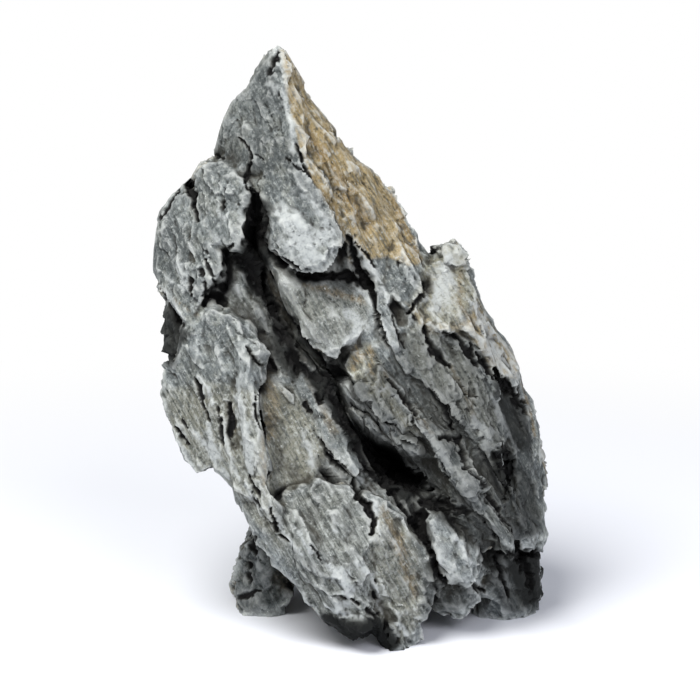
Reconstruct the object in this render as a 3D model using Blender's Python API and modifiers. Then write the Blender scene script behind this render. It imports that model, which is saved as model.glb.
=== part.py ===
"""One seiryu stone: a jagged blue-grey limestone, in one piece, standing on its own feet."""

import math
import random

import bmesh
import bpy
from mathutils import Matrix, Vector, noise
from mathutils.bvhtree import BVHTree

MM = 0.001

# Plates are drawn as they are seen from this far above the horizon.
VIEW_TILT = math.radians(14)

# The grain of the rock runs down to the right, and plates, splinters and ledges lie along it.
GRAIN = Vector((0.50, -0.12, -0.86)).normalized()

# Shingles: loose-edged splinters, as length, width and thickness. The body has large ones, and the
# plates of the front small ones.
SEED = 23
SHINGLE_SIZE = (36 * MM, 13 * MM, 6 * MM)
BODY_SHINGLES = 190
PLATE_SHINGLES = 120
PLATE_SHARE = 0.42

# A ball that holds the whole stone.
BALL = 160 * MM
BALL_MIDDLE = Vector((0, 5, 100)) * MM

# Shards of the broken surface, large and small: length along the grain, width and step.
SHARDS = ((40 * MM, 15 * MM, 2.8 * MM), (15 * MM, 6.5 * MM, 1.5 * MM))

# Ribs: fine ridges along the grain between the ledges.
RIB_LENGTH = 26 * MM
RIB_WIDTH = 5 * MM
RIB_DEPTH = 1.2 * MM

# Faces that look this way are bedding planes, and are calmer than the broken ones.
BEDDING = Vector((-0.35, -0.80, 0.48)).normalized()
CALM_SHARE = 0.5
BACK_SHARE = 1.5

# How finely the blocks are fused, and how many triangles the finished solid keeps.
FUSE_SIZE = 1.5 * MM
TRIANGLES = 9600

# The body of the stone behind the plates: height above the floor and outline (across, back), in mm.
CORE_SECTIONS = (
    (13, ((-26, 14), (-12, -10), (18, -26), (45, -16), (62, 0), (62, 30), (40, 44), (0, 46), (-24, 34))),
    (35, ((-32, 4), (-22, -22), (8, -28), (45, -18), (65, 0), (66, 30), (45, 48), (0, 54), (-29, 36))),
    (65, ((-50, 0), (-44, -20), (-10, -23), (40, -18), (63, 0), (64, 30), (45, 46), (0, 54), (-45, 34))),
    (95, ((-66, 8), (-52, -13), (-12, -17), (30, -13), (56, 0), (58, 28), (40, 44), (-5, 50), (-55, 34))),
    (125, ((-70, 12), (-55, -2), (-20, -10), (15, -7), (38, 4), (42, 26), (25, 40), (-10, 44), (-58, 32))),
    (150, ((-62, 12), (-52, 2), (-20, -5), (5, -3), (16, 16), (10, 32), (-15, 38), (-56, 30))),
    (175, ((-46, 18), (-36, 8), (-22, 2), (-6, 13), (4, 24), (-8, 32), (-30, 34), (-44, 28))),
    (200, ((-34, 12), (-28, 8), (-22, 12), (-24, 18), (-31, 18))),
)

# The feet: outline on the floor (across, back), then outline where they join the body, in mm.
# They reach below the floor and are cut flat at it.
FOOT_BOTTOM = -5
FEET = {
    "toe": (((14, -40), (21, -42), (26, -38), (22, -32), (12, -32)), 16,
            ((0, -42), (16, -47), (29, -38), (26, -24), (0, -24))),
    "right_foot": (((50, -4), (60, -8), (70, 0), (68, 14), (54, 14)), 20,
                   ((46, -6), (58, -12), (72, -2), (70, 20), (50, 22))),
    "left_foot": (((-45, 4), (-41, -4), (-28, -3), (-24, 12), (-40, 16)), 30,
                  ((-36, 6), (-30, -4), (-22, 0), (-20, 14), (-34, 18))),
    "rear_foot": (((-4, 34), (26, 32), (34, 46), (2, 50)), 20,
                  ((-14, 26), (34, 24), (44, 46), (-8, 52))),
}

# The clefts, each a groove with stations along it: across, up, half its width at the mouth, and how
# far back its mouth and its bottom are, in mm.
CLEFT_BOTTOM_SHARE = 0.45
CLEFT_UNDERCUT = 0.7
CLEFTS = {
    "main_cleft": (
        (-35, 155, 1.9, -12, 6), (-37, 136, 5.7, -18, 8), (-27, 116, 5.1, -25, 6),
        (-17, 101, 4.7, -28, 4), (-6, 88, 5.4, -29, 6), (4, 73, 6.6, -32, 10),
        (14, 58, 9.5, -33, 14), (25, 49, 6.3, -34, 6), (37, 40, 2.5, -35, -12)),
    "under_bright_plate": (
        (-29, 136, 1.3, -20, -6), (-18, 127, 2.2, -26, -6), (-4, 127, 2.5, -26, -3),
        (6, 121, 1.6, -20, -2)),
    "upper_crack": (
        (-4, 141, 0.8, -21, -8), (6, 126, 2.4, -20, -3), (13, 113, 1.4, -20, -6),
        (16, 100, 0.8, -22, -12)),
    "spike_shade": (
        (25, 114, 0.9, -16, -4), (33, 105, 2.2, -18, 0), (43, 106, 2.2, -14, 4),
        (53, 91, 2.5, -12, 6), (61, 77, 2.2, -9, 6), (68, 63, 1.3, -6, 5)),
    "right_hollow": (
        (51, 67, 1.6, -18, -4), (58, 56, 4.7, -18, 2), (62, 43, 1.9, -18, -4),
        (66, 32, 0.8, -18, -8)),
    "ridge_crack": (
        (21, 86, 0.8, -24, -14), (36, 73, 1.4, -26, -12), (47, 55, 1.6, -28, -12),
        (54, 40, 0.9, -30, -18)),
    "left_crease": (
        (-35, 94, 0.8, -30, -18), (-34, 77, 1.3, -34, -20), (-30, 56, 1.4, -39, -27),
        (-27, 45, 0.8, -43, -33)),
    "shoulder_crack": (
        (-57, 91, 0.6, -20, -8), (-50, 76, 1.3, -27, -14), (-46, 62, 1.1, -31, -18)),
    "ear_shade": (
        (-73, 122, 1.6, -4, 12), (-67, 108, 3.5, -10, 8), (-65, 94, 1.3, -14, 0)),
    "ear_notch": (
        (-59, 165, 0.9, 4, 16), (-57, 152, 0.9, -3, 8), (-50, 140, 0.6, -12, -2)),
    "peak_notch": (
        (-48, 169, 1.3, 4, 16), (-40, 167, 1.6, -4, 6), (-35, 159, 1.1, -9, 0)),
    "toe_pit": (
        (1, 51, 0.6, -38, -28), (6, 43, 1.7, -42, -28), (11, 33, 0.6, -42, -34)),
    "low_notch": (
        (27, 33, 0.8, -38, -26), (30, 18, 1.4, -38, -20), (29, -1, 1.9, -38, -16)),
    "low_plate_shade": (
        (47, 17, 0.9, -34, -20), (49, 10, 1.6, -32, -14), (54, 1, 1.9, -30, -12)),
    "inner_crack": (
        (-18, 94, 0.6, -27, -14), (-9, 81, 1.1, -28, -14), (-3, 65, 0.8, -30, -18)),
}

# What is empty beside the stone as it is seen: outlines of corners (across, up) in mm, cut away from
# the nearest splinter to the farthest.
EMPTY_FROM, EMPTY_TO = -70, 90
EMPTY = {
    "right_of_peak": (
        (-27, 212), (-24, 209), (-22, 205), (-19, 198), (-15, 191), (-9, 183), (-3, 175), (3, 169),
        (9, 164), (13, 160), (16, 154), (20, 146), (24, 137), (26, 132), (30, 134), (36, 138),
        (39, 143), (42, 139), (44, 129), (48, 119), (53, 109), (59, 101), (63, 94), (65, 87),
        (69, 77), (72, 64), (74, 42), (75, 30), (110, 30), (110, 250), (-27, 250)),
    "left_of_peak": (
        (-27, 212), (-27, 250), (-110, 250), (-110, 4), (-47, 4), (-46, 10), (-42, 24), (-39, 33),
        (-36, 36), (-40, 44), (-44, 51), (-51, 58), (-54, 57), (-57, 55), (-62, 59), (-67, 71),
        (-71, 81), (-70, 98), (-72, 113), (-74, 125), (-75, 140), (-73, 151), (-69, 157),
        (-63, 164), (-60, 159), (-58, 160), (-56, 169), (-53, 171), (-50, 169), (-48, 167),
        (-49, 174), (-50, 180), (-47, 187), (-43, 195), (-35, 203), (-31, 208)),
}

# The plates of the front: how thick each is, and its corners (across, up, back) in mm.
FRONT_PLATES = {
    "peak_left": (24, (
        (-27, 212, 6), (-37, 202, 12), (-44, 196, 16), (-48, 187, 18), (-51, 179, 20),
        (-49, 173, 16), (-42, 169, 4), (-35, 169, -4), (-26, 169, -8), (-19, 169, -10),
        (-20, 175, -7), (-22, 187, -3), (-24, 200, 1))),
    "peak_right": (22, (
        (-26, 212, 7), (-21, 209, 10), (-17, 202, 14), (-13, 195, 16), (-7, 187, 19),
        (-1, 178, 22), (6, 171, 24), (12, 165, 26), (14, 157, 22), (20, 146, 18), (25, 133, 12),
        (20, 138, 4), (12, 135, -2), (6, 136, -5), (-1, 143, -10), (-5, 142, -14), (-10, 154, -13),
        (-16, 165, -11), (-20, 175, -8), (-22, 187, -4), (-24, 200, 0))),
    "rusty_rim": (14, (
        (14, 161, 20), (16, 162, 22), (22, 149, 17), (27, 134, 9), (25, 132, 7), (20, 140, 10),
        (16, 152, 16))),
    "bright_plate": (26, (
        (-31, 148, -10), (-35, 162, -5), (-34, 169, -5), (-20, 170, -10), (-16, 165, -13),
        (-7, 149, -18), (-4, 140, -20), (-7, 135, -22), (-13, 130, -24), (-20, 130, -24),
        (-23, 134, -22), (-29, 137, -18), (-31, 141, -15))),
    "left_ear": (24, (
        (-57, 170, 8), (-55, 172, 8), (-50, 170, 4), (-46, 168, 0), (-38, 166, -6),
        (-37, 159, -10), (-38, 149, -13), (-42, 141, -14), (-46, 138, -13), (-52, 142, -8),
        (-55, 146, -4), (-58, 152, 2))),
    "outer_ear": (26, (
        (-63, 165, 14), (-60, 163, 12), (-58, 160, 8), (-58, 152, 2), (-54, 145, -5),
        (-49, 136, -11), (-48, 132, -13), (-50, 127, -14), (-55, 121, -13), (-60, 112, -11),
        (-64, 115, -7), (-73, 125, 3), (-74, 130, 7), (-73, 151, 13), (-69, 157, 14))),
    "left_shoulder": (30, (
        (-58, 111, -14), (-51, 116, -17), (-43, 112, -21), (-38, 102, -24), (-33, 94, -27),
        (-34, 86, -30), (-35, 77, -32), (-42, 59, -33), (-51, 60, -27), (-54, 60, -25),
        (-57, 55, -22), (-61, 59, -20), (-67, 72, -15), (-70, 80, -13), (-68, 96, -10),
        (-63, 105, -12))),
    "shoulder_rib": (14, (
        (-42, 103, -28), (-37, 97, -32), (-33, 77, -38), (-34, 58, -42), (-30, 42, -46),
        (-34, 40, -43), (-38, 58, -37), (-39, 77, -34), (-42, 92, -30))),
    "outer_rib": (14, (
        (-55, 94, -20), (-51, 86, -25), (-46, 70, -32), (-41, 58, -37), (-37, 47, -41),
        (-40, 46, -38), (-46, 58, -33), (-51, 70, -27), (-56, 86, -20))),
    "upper_rib": (28, (
        (-35, 77, -31), (-29, 61, -36), (-30, 45, -41), (-35, 32, -39), (-39, 40, -35),
        (-46, 50, -30), (-51, 60, -27), (-42, 70, -30))),
    "lower_rib": (30, (
        (-30, 45, -41), (-35, 32, -39), (-28, 23, -41), (-20, 12, -43), (-9, 0, -45), (6, 0, -49),
        (-5, 18, -52), (-20, 34, -48))),
    "toe_plate": (36, (
        (-31, 44, -39), (-18, 47, -39), (-13, 53, -36), (-1, 51, -34), (6, 42, -36), (18, 40, -36),
        (25, 31, -36), (30, 21, -34), (27, 7, -38), (26, -2, -39), (22, -9, -37), (19, -9, -39),
        (14, -4, -43), (6, 0, -47), (-9, 0, -45), (-20, 12, -43), (-1, 23, -51))),
    "brown_hollow": (20, (
        (-32, 92, -18), (-21, 86, -17), (-13, 77, -17), (-9, 62, -21), (-13, 53, -30),
        (-26, 46, -33), (-31, 58, -28), (-34, 78, -22))),
    "inner_rib": (22, (
        (-13, 81, -23), (-8, 80, -21), (-1, 67, -24), (5, 56, -29), (2, 52, -33), (-4, 58, -31),
        (-10, 63, -28))),
    "upper_inner_rib": (20, (
        (-30, 99, -20), (-24, 92, -20), (-18, 81, -21), (-20, 79, -24), (-26, 85, -24))),
    "middle_plate": (26, (
        (-31, 130, -17), (-26, 132, -13), (-18, 126, -12), (-7, 124, -11), (2, 122, -10),
        (8, 118, -11), (7, 108, -17), (-1, 102, -22), (-7, 102, -25), (-12, 95, -27),
        (-15, 96, -27), (-20, 107, -25), (-26, 118, -22), (-31, 123, -20))),
    "knuckle": (24, (
        (-1, 102, -16), (8, 103, -15), (12, 92, -17), (15, 86, -21), (20, 77, -22), (28, 69, -23),
        (21, 70, -27), (12, 80, -27), (6, 86, -25), (-3, 92, -20))),
    "thin_rib": (16, (
        (5, 133, -8), (9, 127, -11), (12, 119, -13), (20, 102, -17), (25, 91, -19), (22, 92, -21),
        (15, 102, -20), (10, 118, -17), (6, 127, -12))),
    "small_plate": (20, (
        (12, 135, -5), (20, 137, -4), (25, 130, -5), (26, 121, -9), (22, 114, -12), (15, 120, -12),
        (13, 127, -9))),
    "spike_plate": (24, (
        (40, 145, 13), (38, 142, 10), (28, 135, 3), (26, 127, -3), (27, 121, -6), (22, 115, -10),
        (31, 109, -13), (35, 106, -15), (37, 108, -13), (43, 109, -9), (45, 117, 0), (48, 121, 6),
        (44, 130, 11))),
    "right_rim": (24, (
        (48, 121, 5), (53, 111, 9), (59, 103, 12), (63, 97, 14), (64, 89, 11), (58, 91, 2),
        (52, 94, -3), (48, 102, -7), (43, 108, -8), (45, 116, -1))),
    "right_mass": (26, (
        (20, 113, -13), (29, 103, -11), (42, 103, -8), (50, 91, -6), (56, 77, -6), (60, 67, -9),
        (54, 62, -15), (47, 62, -18), (42, 73, -22), (36, 81, -23), (28, 85, -22), (21, 96, -19))),
    "outer_strip": (22, (
        (64, 89, 12), (69, 78, 12), (71, 64, 8), (66, 64, -1), (60, 77, -1), (58, 86, 2))),
    "right_ridge": (24, (
        (20, 78, -26), (31, 66, -32), (42, 53, -35), (48, 42, -37), (56, 31, -36), (62, 25, -31),
        (58, 36, -26), (50, 51, -22), (40, 64, -20), (28, 77, -20))),
    "edge_ridge": (16, (
        (43, 81, -16), (50, 69, -21), (54, 58, -24), (59, 45, -26), (65, 32, -24), (67, 26, -20),
        (61, 45, -20), (57, 58, -18), (53, 70, -15), (47, 81, -12))),
    "lower_ridge": (24, (
        (14, 55, -17), (25, 48, -27), (37, 40, -31), (50, 33, -31), (59, 25, -27), (48, 27, -24),
        (31, 37, -25), (21, 45, -21))),
    "right_wall": (30, (
        (66, 64, 3), (71, 64, 8), (72, 47, 4), (73, 41, 3), (74, 32, -1), (72, 24, -6),
        (66, 26, -14), (60, 35, -19), (57, 45, -12), (62, 56, -4))),
    "low_plate": (20, (
        (30, 39, -34), (42, 32, -32), (48, 27, -30), (47, 21, -30), (43, 18, -34), (45, 12, -34),
        (40, 13, -37), (36, 18, -38), (31, 24, -38), (29, 32, -36))),
    "low_mass": (34, (
        (28, 23, -31), (29, 7, -28), (31, 1, -26), (37, 5, -27), (42, 3, -26), (50, 8, -24),
        (45, 17, -25), (50, 25, -20), (34, 31, -25))),
    "right_foot": (34, (
        (49, 25, -14), (60, 24, -12), (72, 23, -2), (72, 10, 2), (67, 2, -3), (61, 0, -7),
        (53, 3, -13), (50, 10, -18))),
    "back_foot": (26, (
        (-37, 33, 16), (-34, 29, 8), (-29, 18, 1), (-21, 7, -4), (-26, 2, -5), (-37, 1, -3),
        (-42, 0, -1), (-45, 5, 4), (-44, 10, 7), (-40, 25, 14))),
}


def clear_scene():
    for thing in list(bpy.data.objects):
        bpy.data.objects.remove(thing)


def seen_corner(across, up, back):
    """The place of a corner that shows at this height from VIEW_TILT above the horizon."""
    height = (up - back * math.sin(VIEW_TILT)) / math.cos(VIEW_TILT)
    return Vector((across, back, height)) * MM


def add_hull(bm, points):
    """The convex block around the points, as a closed shell of its own."""
    verts = [bm.verts.new(p) for p in points]
    made = bmesh.ops.convex_hull(bm, input=verts, use_existing_faces=False)
    spare = dict.fromkeys(made["geom_interior"] + made["geom_unused"])
    bmesh.ops.delete(bm, geom=[v for v in spare if isinstance(v, bmesh.types.BMVert)])


def add_plate(bm, thickness, corners, taper=0.8):
    """A slab with its corners in front and a smaller copy of them buried in the stone behind."""
    front = [seen_corner(*c) for c in corners]
    middle = sum(front, Vector()) / len(front)
    buried = max(p.y for p in front) * 0.5 + middle.y * 0.5 + thickness * MM
    behind = []
    for p in front:
        q = middle + (p - middle) * taper
        q.y = max(buried, p.y + 0.4 * thickness * MM)
        behind.append(q)
    add_hull(bm, front + behind)


def add_core(bm):
    """Blocks between one section and the next, so that the body has no gap."""
    rings = [[Vector((x, y, z)) * MM for x, y in outline] for z, outline in CORE_SECTIONS]
    for lower, upper in zip(rings, rings[1:]):
        add_hull(bm, lower + upper)


def add_feet(bm):
    for sole, height, ankle in FEET.values():
        add_hull(bm, [Vector((x, y, FOOT_BOTTOM)) * MM for x, y in sole]
                 + [Vector((x, y, height)) * MM for x, y in ankle])


def grain_axes(normal):
    """Directions along and across the grain on a surface that faces this way."""
    along = (GRAIN - normal * GRAIN.dot(normal)).normalized()
    return along, normal.cross(along)


def add_shingle(bm, place, normal, size, chance):
    """A flat splinter on the surface, long along the grain, thin at its rim and proud at its lower end."""
    tilt = Vector([chance.uniform(-0.2, 0.2) for _ in range(3)])
    normal = (normal + tilt).normalized()
    along, across = grain_axes(normal)
    turn = chance.gauss(0, 0.2)
    along, across = (along * math.cos(turn) + across * math.sin(turn),
                     across * math.cos(turn) - along * math.sin(turn))
    length, width, thick = (s * size for s in SHINGLE_SIZE)
    points = []
    for corner in range(7):
        way = (corner + chance.uniform(-0.35, 0.35)) * math.tau / 7
        a, b = math.cos(way), math.sin(way)
        reach = chance.uniform(0.75, 1.1)
        rim = place + along * a * length / 2 * reach + across * b * width / 2 * reach
        points.append(rim + normal * thick * (0.1 + 0.35 * a))
        points.append(rim - normal * thick)
        if corner % 2:
            top = place + (rim - place) * chance.uniform(0.2, 0.75)
            points.append(top + normal * thick * chance.uniform(0.3, 0.6))
    add_hull(bm, points)


def point_around(chance):
    """A point on a ball that holds the whole stone, each part of it as likely."""
    up, turn = chance.uniform(-1, 1), chance.uniform(0, math.tau)
    flat = math.sqrt(1 - up * up)
    return Vector((flat * math.cos(turn), flat * math.sin(turn), up)) * BALL + BALL_MIDDLE


def add_shingles(bm, count, share, chance, front_only=False):
    """Shingles where straight lines through the stone first meet it, so about evenly by area."""
    skin = BVHTree.FromBMesh(bm)
    spots = []
    while len(spots) < count:
        start, end = point_around(chance), point_around(chance)
        place, normal, _, _ = skin.ray_cast(start, (end - start).normalized())
        size = share * min(1.2, math.exp(chance.gauss(-0.2, 0.3)))
        if place and not (front_only and normal.y > -0.2):
            spots.append((place, normal, size))
    for place, normal, size in spots:
        add_shingle(bm, place, normal, size, chance)


def blocks_mesh():
    bm = bmesh.new()
    chance = random.Random(SEED)
    add_core(bm)
    add_shingles(bm, BODY_SHINGLES, 1, chance)
    for thickness, corners in FRONT_PLATES.values():
        add_plate(bm, thickness, corners)
    add_shingles(bm, PLATE_SHINGLES, PLATE_SHARE, chance, front_only=True)
    add_feet(bm)
    mesh = bpy.data.meshes.new("blocks")
    bm.to_mesh(mesh)
    bm.free()
    return mesh


def settled(obj):
    """The object's mesh with its modifiers carried out, in place of the old one."""
    graph = bpy.context.evaluated_depsgraph_get()
    mesh = bpy.data.meshes.new_from_object(obj.evaluated_get(graph))
    obj.modifiers.clear()
    obj.data = mesh


def cutter_object(name, bm):
    mesh = bpy.data.meshes.new(name)
    bm.to_mesh(mesh)
    bm.free()
    cutter = bpy.data.objects.new(name, mesh)
    cutter.hide_render = True
    cutter.display_type = "WIRE"
    return cutter


def cleft_cutter(name, stations):
    """A groove closed at both ends, narrower at its bottom, which lies a little higher than its mouth."""
    bm = bmesh.new()
    rings = []
    for i, (across, up, half, mouth, bottom) in enumerate(stations):
        before, after = stations[max(i - 1, 0)], stations[min(i + 1, len(stations) - 1)]
        way = Vector((after[0] - before[0], after[1] - before[1])).normalized()
        side = Vector((way.y, -way.x)) * half
        low = side * CLEFT_BOTTOM_SHARE
        rise = half * CLEFT_UNDERCUT
        rings.append([bm.verts.new(seen_corner(across + side.x, up + side.y, mouth)),
                      bm.verts.new(seen_corner(across + low.x, up + low.y + rise, bottom)),
                      bm.verts.new(seen_corner(across - low.x, up - low.y + rise, bottom)),
                      bm.verts.new(seen_corner(across - side.x, up - side.y, mouth))])
    for one, two in zip(rings, rings[1:]):
        for i in range(4):
            bm.faces.new((one[i], one[(i + 1) % 4], two[(i + 1) % 4], two[i]))
    bm.faces.new(rings[0])
    bm.faces.new(rings[-1])
    bmesh.ops.triangulate(bm, faces=bm.faces[:])
    bmesh.ops.recalc_face_normals(bm, faces=bm.faces[:])
    return cutter_object(name, bm)


def empty_cutter(name, corners):
    """A block with this outline that reaches from in front of the stone to behind it, as it is seen."""
    bm = bmesh.new()
    near = [bm.verts.new(seen_corner(x, up, EMPTY_FROM)) for x, up in corners]
    far = [bm.verts.new(seen_corner(x, up, EMPTY_TO)) for x, up in corners]
    bm.faces.new(near)
    bm.faces.new(far)
    for i in range(len(corners)):
        bm.faces.new((near[i - 1], near[i], far[i], far[i - 1]))
    bmesh.ops.triangulate(bm, faces=bm.faces[:])
    bmesh.ops.recalc_face_normals(bm, faces=bm.faces[:])
    return cutter_object(name, bm)


def fuse(obj):
    """Melts whatever overlaps into one skin of even, small faces."""
    skin = obj.modifiers.new("fuse", "REMESH")
    skin.mode = "VOXEL"
    skin.voxel_size = FUSE_SIZE


def cut(obj, collection):
    taken = obj.modifiers.new(collection.name, "BOOLEAN")
    taken.operation = "DIFFERENCE"
    taken.solver = "EXACT"
    taken.operand_type = "COLLECTION"
    taken.collection = collection


def shard_height(place):
    """Height of the broken surface: each shard of rock has a level and a tilt of its own."""
    centre = noise.voronoi(place)[1][0]
    own = noise.cell_vector(centre * 57.3)
    return own.x * 0.45 + (place - centre).dot(own.yzx) * 0.9


def roughen(obj):
    """Moves each point of the skin in or out by the shards and the ribs."""
    turn = GRAIN.to_track_quat("Z", "Y").to_matrix().transposed()
    frames = [(Matrix.Diagonal((1 / w, 1 / w, 1 / l)) @ turn, depth) for l, w, depth in SHARDS]
    rib_frame = Matrix.Diagonal((1 / RIB_WIDTH, 1 / RIB_WIDTH, 1 / RIB_LENGTH)) @ turn
    moves = []
    for v in obj.data.vertices:
        calm = min(max((v.normal.dot(BEDDING) - 0.7) / 0.2, 0), 1)
        behind = min(max(v.normal.y / 0.3, 0), 1)
        share = 1 + (CALM_SHARE - 1) * calm + (BACK_SHARE - 1) * behind
        place = v.co + noise.noise_vector(v.co / (22 * MM)) * 5 * MM + noise.noise_vector(v.co / (6 * MM)) * MM
        depth = sum(d * shard_height(frame @ place) for frame, d in frames)
        depth -= RIB_DEPTH * abs(noise.noise(rib_frame @ place)) * 2
        moves.append(v.co + v.normal * depth * share)
    for v, p in zip(obj.data.vertices, moves):
        v.co = p


def drop_crumbs(obj):
    """Keeps the largest shell, without the crumbs that the clefts cut loose."""
    bm = bmesh.new()
    bm.from_mesh(obj.data)
    left, shells = set(bm.verts), []
    while left:
        shell, edge = set(), {left.pop()}
        while edge:
            shell |= edge
            edge = {e.other_vert(v) for v in edge for e in v.link_edges} - shell
        left -= shell
        shells.append(shell)
    shells.sort(key=len)
    bmesh.ops.delete(bm, geom=[v for shell in shells[:-1] for v in shell])
    bm.to_mesh(obj.data)
    bm.free()


def thin(obj):
    """Fewer and larger facets, which the smooth parts need least."""
    fewer = obj.modifiers.new("thin", "DECIMATE")
    fewer.ratio = TRIANGLES / (2 * len(obj.data.polygons))
    settled(obj)


def floor_cutter():
    """A block whose top is the floor, so that the feet end flat."""
    bm = bmesh.new()
    place = Matrix.Translation((0, 0, -BALL / 2)) @ Matrix.Diagonal((4 * BALL, 4 * BALL, BALL, 1))
    bmesh.ops.create_cube(bm, size=1, matrix=place)
    return cutter_object("floor", bm)


def centre(obj):
    """Puts the middle of the bottom of the stone's box at the origin."""
    xs, ys = [v.co.x for v in obj.data.vertices], [v.co.y for v in obj.data.vertices]
    obj.data.transform(Matrix.Translation((-(min(xs) + max(xs)) / 2, -(min(ys) + max(ys)) / 2, 0)))


def limestone():
    stone = bpy.data.materials.new("weathered_limestone")
    stone.use_nodes = True
    skin = stone.node_tree.nodes["Principled BSDF"]
    skin.inputs["Base Color"].default_value = (0.22, 0.235, 0.235, 1)
    skin.inputs["Roughness"].default_value = 0.75
    return stone


def new_collection(name):
    made = bpy.data.collections.new(name)
    bpy.context.scene.collection.children.link(made)
    return made


def main():
    noise.seed_set(SEED)
    clear_scene()
    parts, clefts, ground = (new_collection(n) for n in ("seiryu_stone", "cleft_cutters", "floor_cutter"))
    for name, stations in CLEFTS.items():
        clefts.objects.link(cleft_cutter(name, stations))
    for name, corners in EMPTY.items():
        clefts.objects.link(empty_cutter(name, corners))
    ground.objects.link(floor_cutter())
    stone = bpy.data.objects.new("stone", blocks_mesh())
    parts.objects.link(stone)
    fuse(stone)
    cut(stone, clefts)
    fuse(stone)
    settled(stone)
    roughen(stone)
    fuse(stone)
    settled(stone)
    drop_crumbs(stone)
    thin(stone)
    cut(stone, ground)
    settled(stone)
    centre(stone)
    stone.data.materials.clear()
    stone.data.materials.append(limestone())


main()
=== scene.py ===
# %% [markdown]
# One seiryu stone: a block of hard blue-grey limestone that stood for ages in wet red soil, where the
# acid water ate the soft layers and left the hard ones as plates, ribs and sharp crests. This script
# gives the plain solid its real surface. It starts by loading that solid, which stays where it is.

# %% The plain solid
import math

import bmesh
import bpy
import numpy as np
from mathutils import Matrix, Vector, noise
from mathutils.bvhtree import BVHTree


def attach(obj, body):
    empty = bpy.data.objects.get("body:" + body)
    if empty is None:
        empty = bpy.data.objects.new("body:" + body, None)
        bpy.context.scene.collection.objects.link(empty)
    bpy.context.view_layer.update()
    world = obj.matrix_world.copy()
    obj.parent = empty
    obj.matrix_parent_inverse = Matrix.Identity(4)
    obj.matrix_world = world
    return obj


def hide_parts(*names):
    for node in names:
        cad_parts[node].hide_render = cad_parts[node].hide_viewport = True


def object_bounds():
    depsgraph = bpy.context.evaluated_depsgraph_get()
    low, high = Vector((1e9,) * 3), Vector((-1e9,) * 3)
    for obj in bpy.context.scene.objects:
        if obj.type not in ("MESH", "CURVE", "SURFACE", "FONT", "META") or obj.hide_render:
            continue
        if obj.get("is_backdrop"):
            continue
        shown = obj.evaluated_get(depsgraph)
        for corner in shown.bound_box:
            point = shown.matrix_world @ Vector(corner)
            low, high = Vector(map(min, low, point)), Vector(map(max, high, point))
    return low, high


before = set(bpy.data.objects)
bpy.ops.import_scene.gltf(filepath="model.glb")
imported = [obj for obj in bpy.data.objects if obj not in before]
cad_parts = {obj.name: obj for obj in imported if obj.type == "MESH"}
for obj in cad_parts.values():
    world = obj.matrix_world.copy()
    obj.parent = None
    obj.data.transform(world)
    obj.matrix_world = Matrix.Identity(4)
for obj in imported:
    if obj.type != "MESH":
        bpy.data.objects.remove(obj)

MM = 0.001
SEED = 23
noise.seed_set(SEED)
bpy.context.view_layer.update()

# %% [markdown]
# The real stone has edges that a finger can feel at every scale, from the plates down to hair-fine
# ribs. A bump map would fake them and leave the outline smooth, so the surface is made of real
# faces: the solid is copied, its loose triangles are merged, and a voxel remesh covers it with small
# even faces that can be pushed in and out.

# %% A fine skin over a copy of the solid
SKIN_SIZE = 0.7 * MM
SAME_POINT = 0.001 * MM


def add_object(name, data):
    made = bpy.data.objects.new(name, data)
    bpy.context.scene.collection.objects.link(made)
    return made


def mesh_object(name, bm):
    mesh = bpy.data.meshes.new(name)
    bm.to_mesh(mesh)
    bm.free()
    return add_object(name, mesh)


def apply_modifiers(obj):
    graph = bpy.context.evaluated_depsgraph_get()
    finished = bpy.data.meshes.new_from_object(obj.evaluated_get(graph))
    obj.modifiers.clear()
    obj.data = finished


bm = bmesh.new()
bm.from_mesh(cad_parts["stone"].data)
bmesh.ops.remove_doubles(bm, verts=bm.verts, dist=SAME_POINT)
stone = mesh_object("weathered_stone", bm)
skin = stone.modifiers.new("skin", "REMESH")
skin.mode = "VOXEL"
skin.voxel_size = SKIN_SIZE
apply_modifiers(stone)
print("skin:", len(stone.data.vertices), "points")

# %% [markdown]
# Every step below needs the same few measurements of the skin: its points, its normals, and the
# mean of each point's neighbours. They are read into arrays once, because a loop over hundreds of
# thousands of points is slow, and sums over arrays aren't.

# %% Reading and smoothing the skin
FACING_ROUNDS = 6


def read(mesh, what, size=3):
    values = np.empty(len(mesh.vertices) * size, np.float32)
    mesh.vertices.foreach_get(what, values)
    return values.reshape(-1, size).astype(np.float64)


def edge_ends(mesh):
    ends = np.empty(len(mesh.edges) * 2, np.int32)
    mesh.edges.foreach_get("vertices", ends)
    return ends.reshape(-1, 2)


def spread(values, ends, rounds):
    """Mixes each point's value with the mean of its neighbours' values, some rounds over."""
    columns = values.reshape(len(values), -1).T
    count = np.bincount(ends.ravel(), minlength=len(values))
    mixed = []
    for column in columns:
        for _ in range(rounds):
            total = np.bincount(ends[:, 0], column[ends[:, 1]], len(column))
            total += np.bincount(ends[:, 1], column[ends[:, 0]], len(column))
            column = (column + total / count) / 2
        mixed.append(column)
    return np.array(mixed).T.reshape(values.shape)


def unit(vectors):
    return vectors / np.linalg.norm(vectors, axis=1, keepdims=True)


def step(values, low, high):
    """Goes smoothly from 0 at low to 1 at high."""
    share = np.clip((values - low) / (high - low), 0, 1)
    return share * share * (3 - 2 * share)


points = read(stone.data, "co")
ends = edge_ends(stone.data)
facing = unit(spread(read(stone.data, "normal"), ends, FACING_ROUNDS))
print("box, mm:", (np.ptp(points, axis=0) / MM).round(1))

# %% [markdown]
# The remesh has rounded the edges of the plates a little. What it took is given back by moving each
# point further from the mean of its neighbours, which makes edges sharper and creases deeper. The
# back of the plain solid is lumpier than a broken stone is, so there the lumps are first smoothed
# away and only its large forms stay.

# %% Sharp edges in front, calm forms behind
VIEW_TILT = math.radians(14)
TO_EYE = Vector((0, -math.cos(VIEW_TILT), math.sin(VIEW_TILT)))
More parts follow.
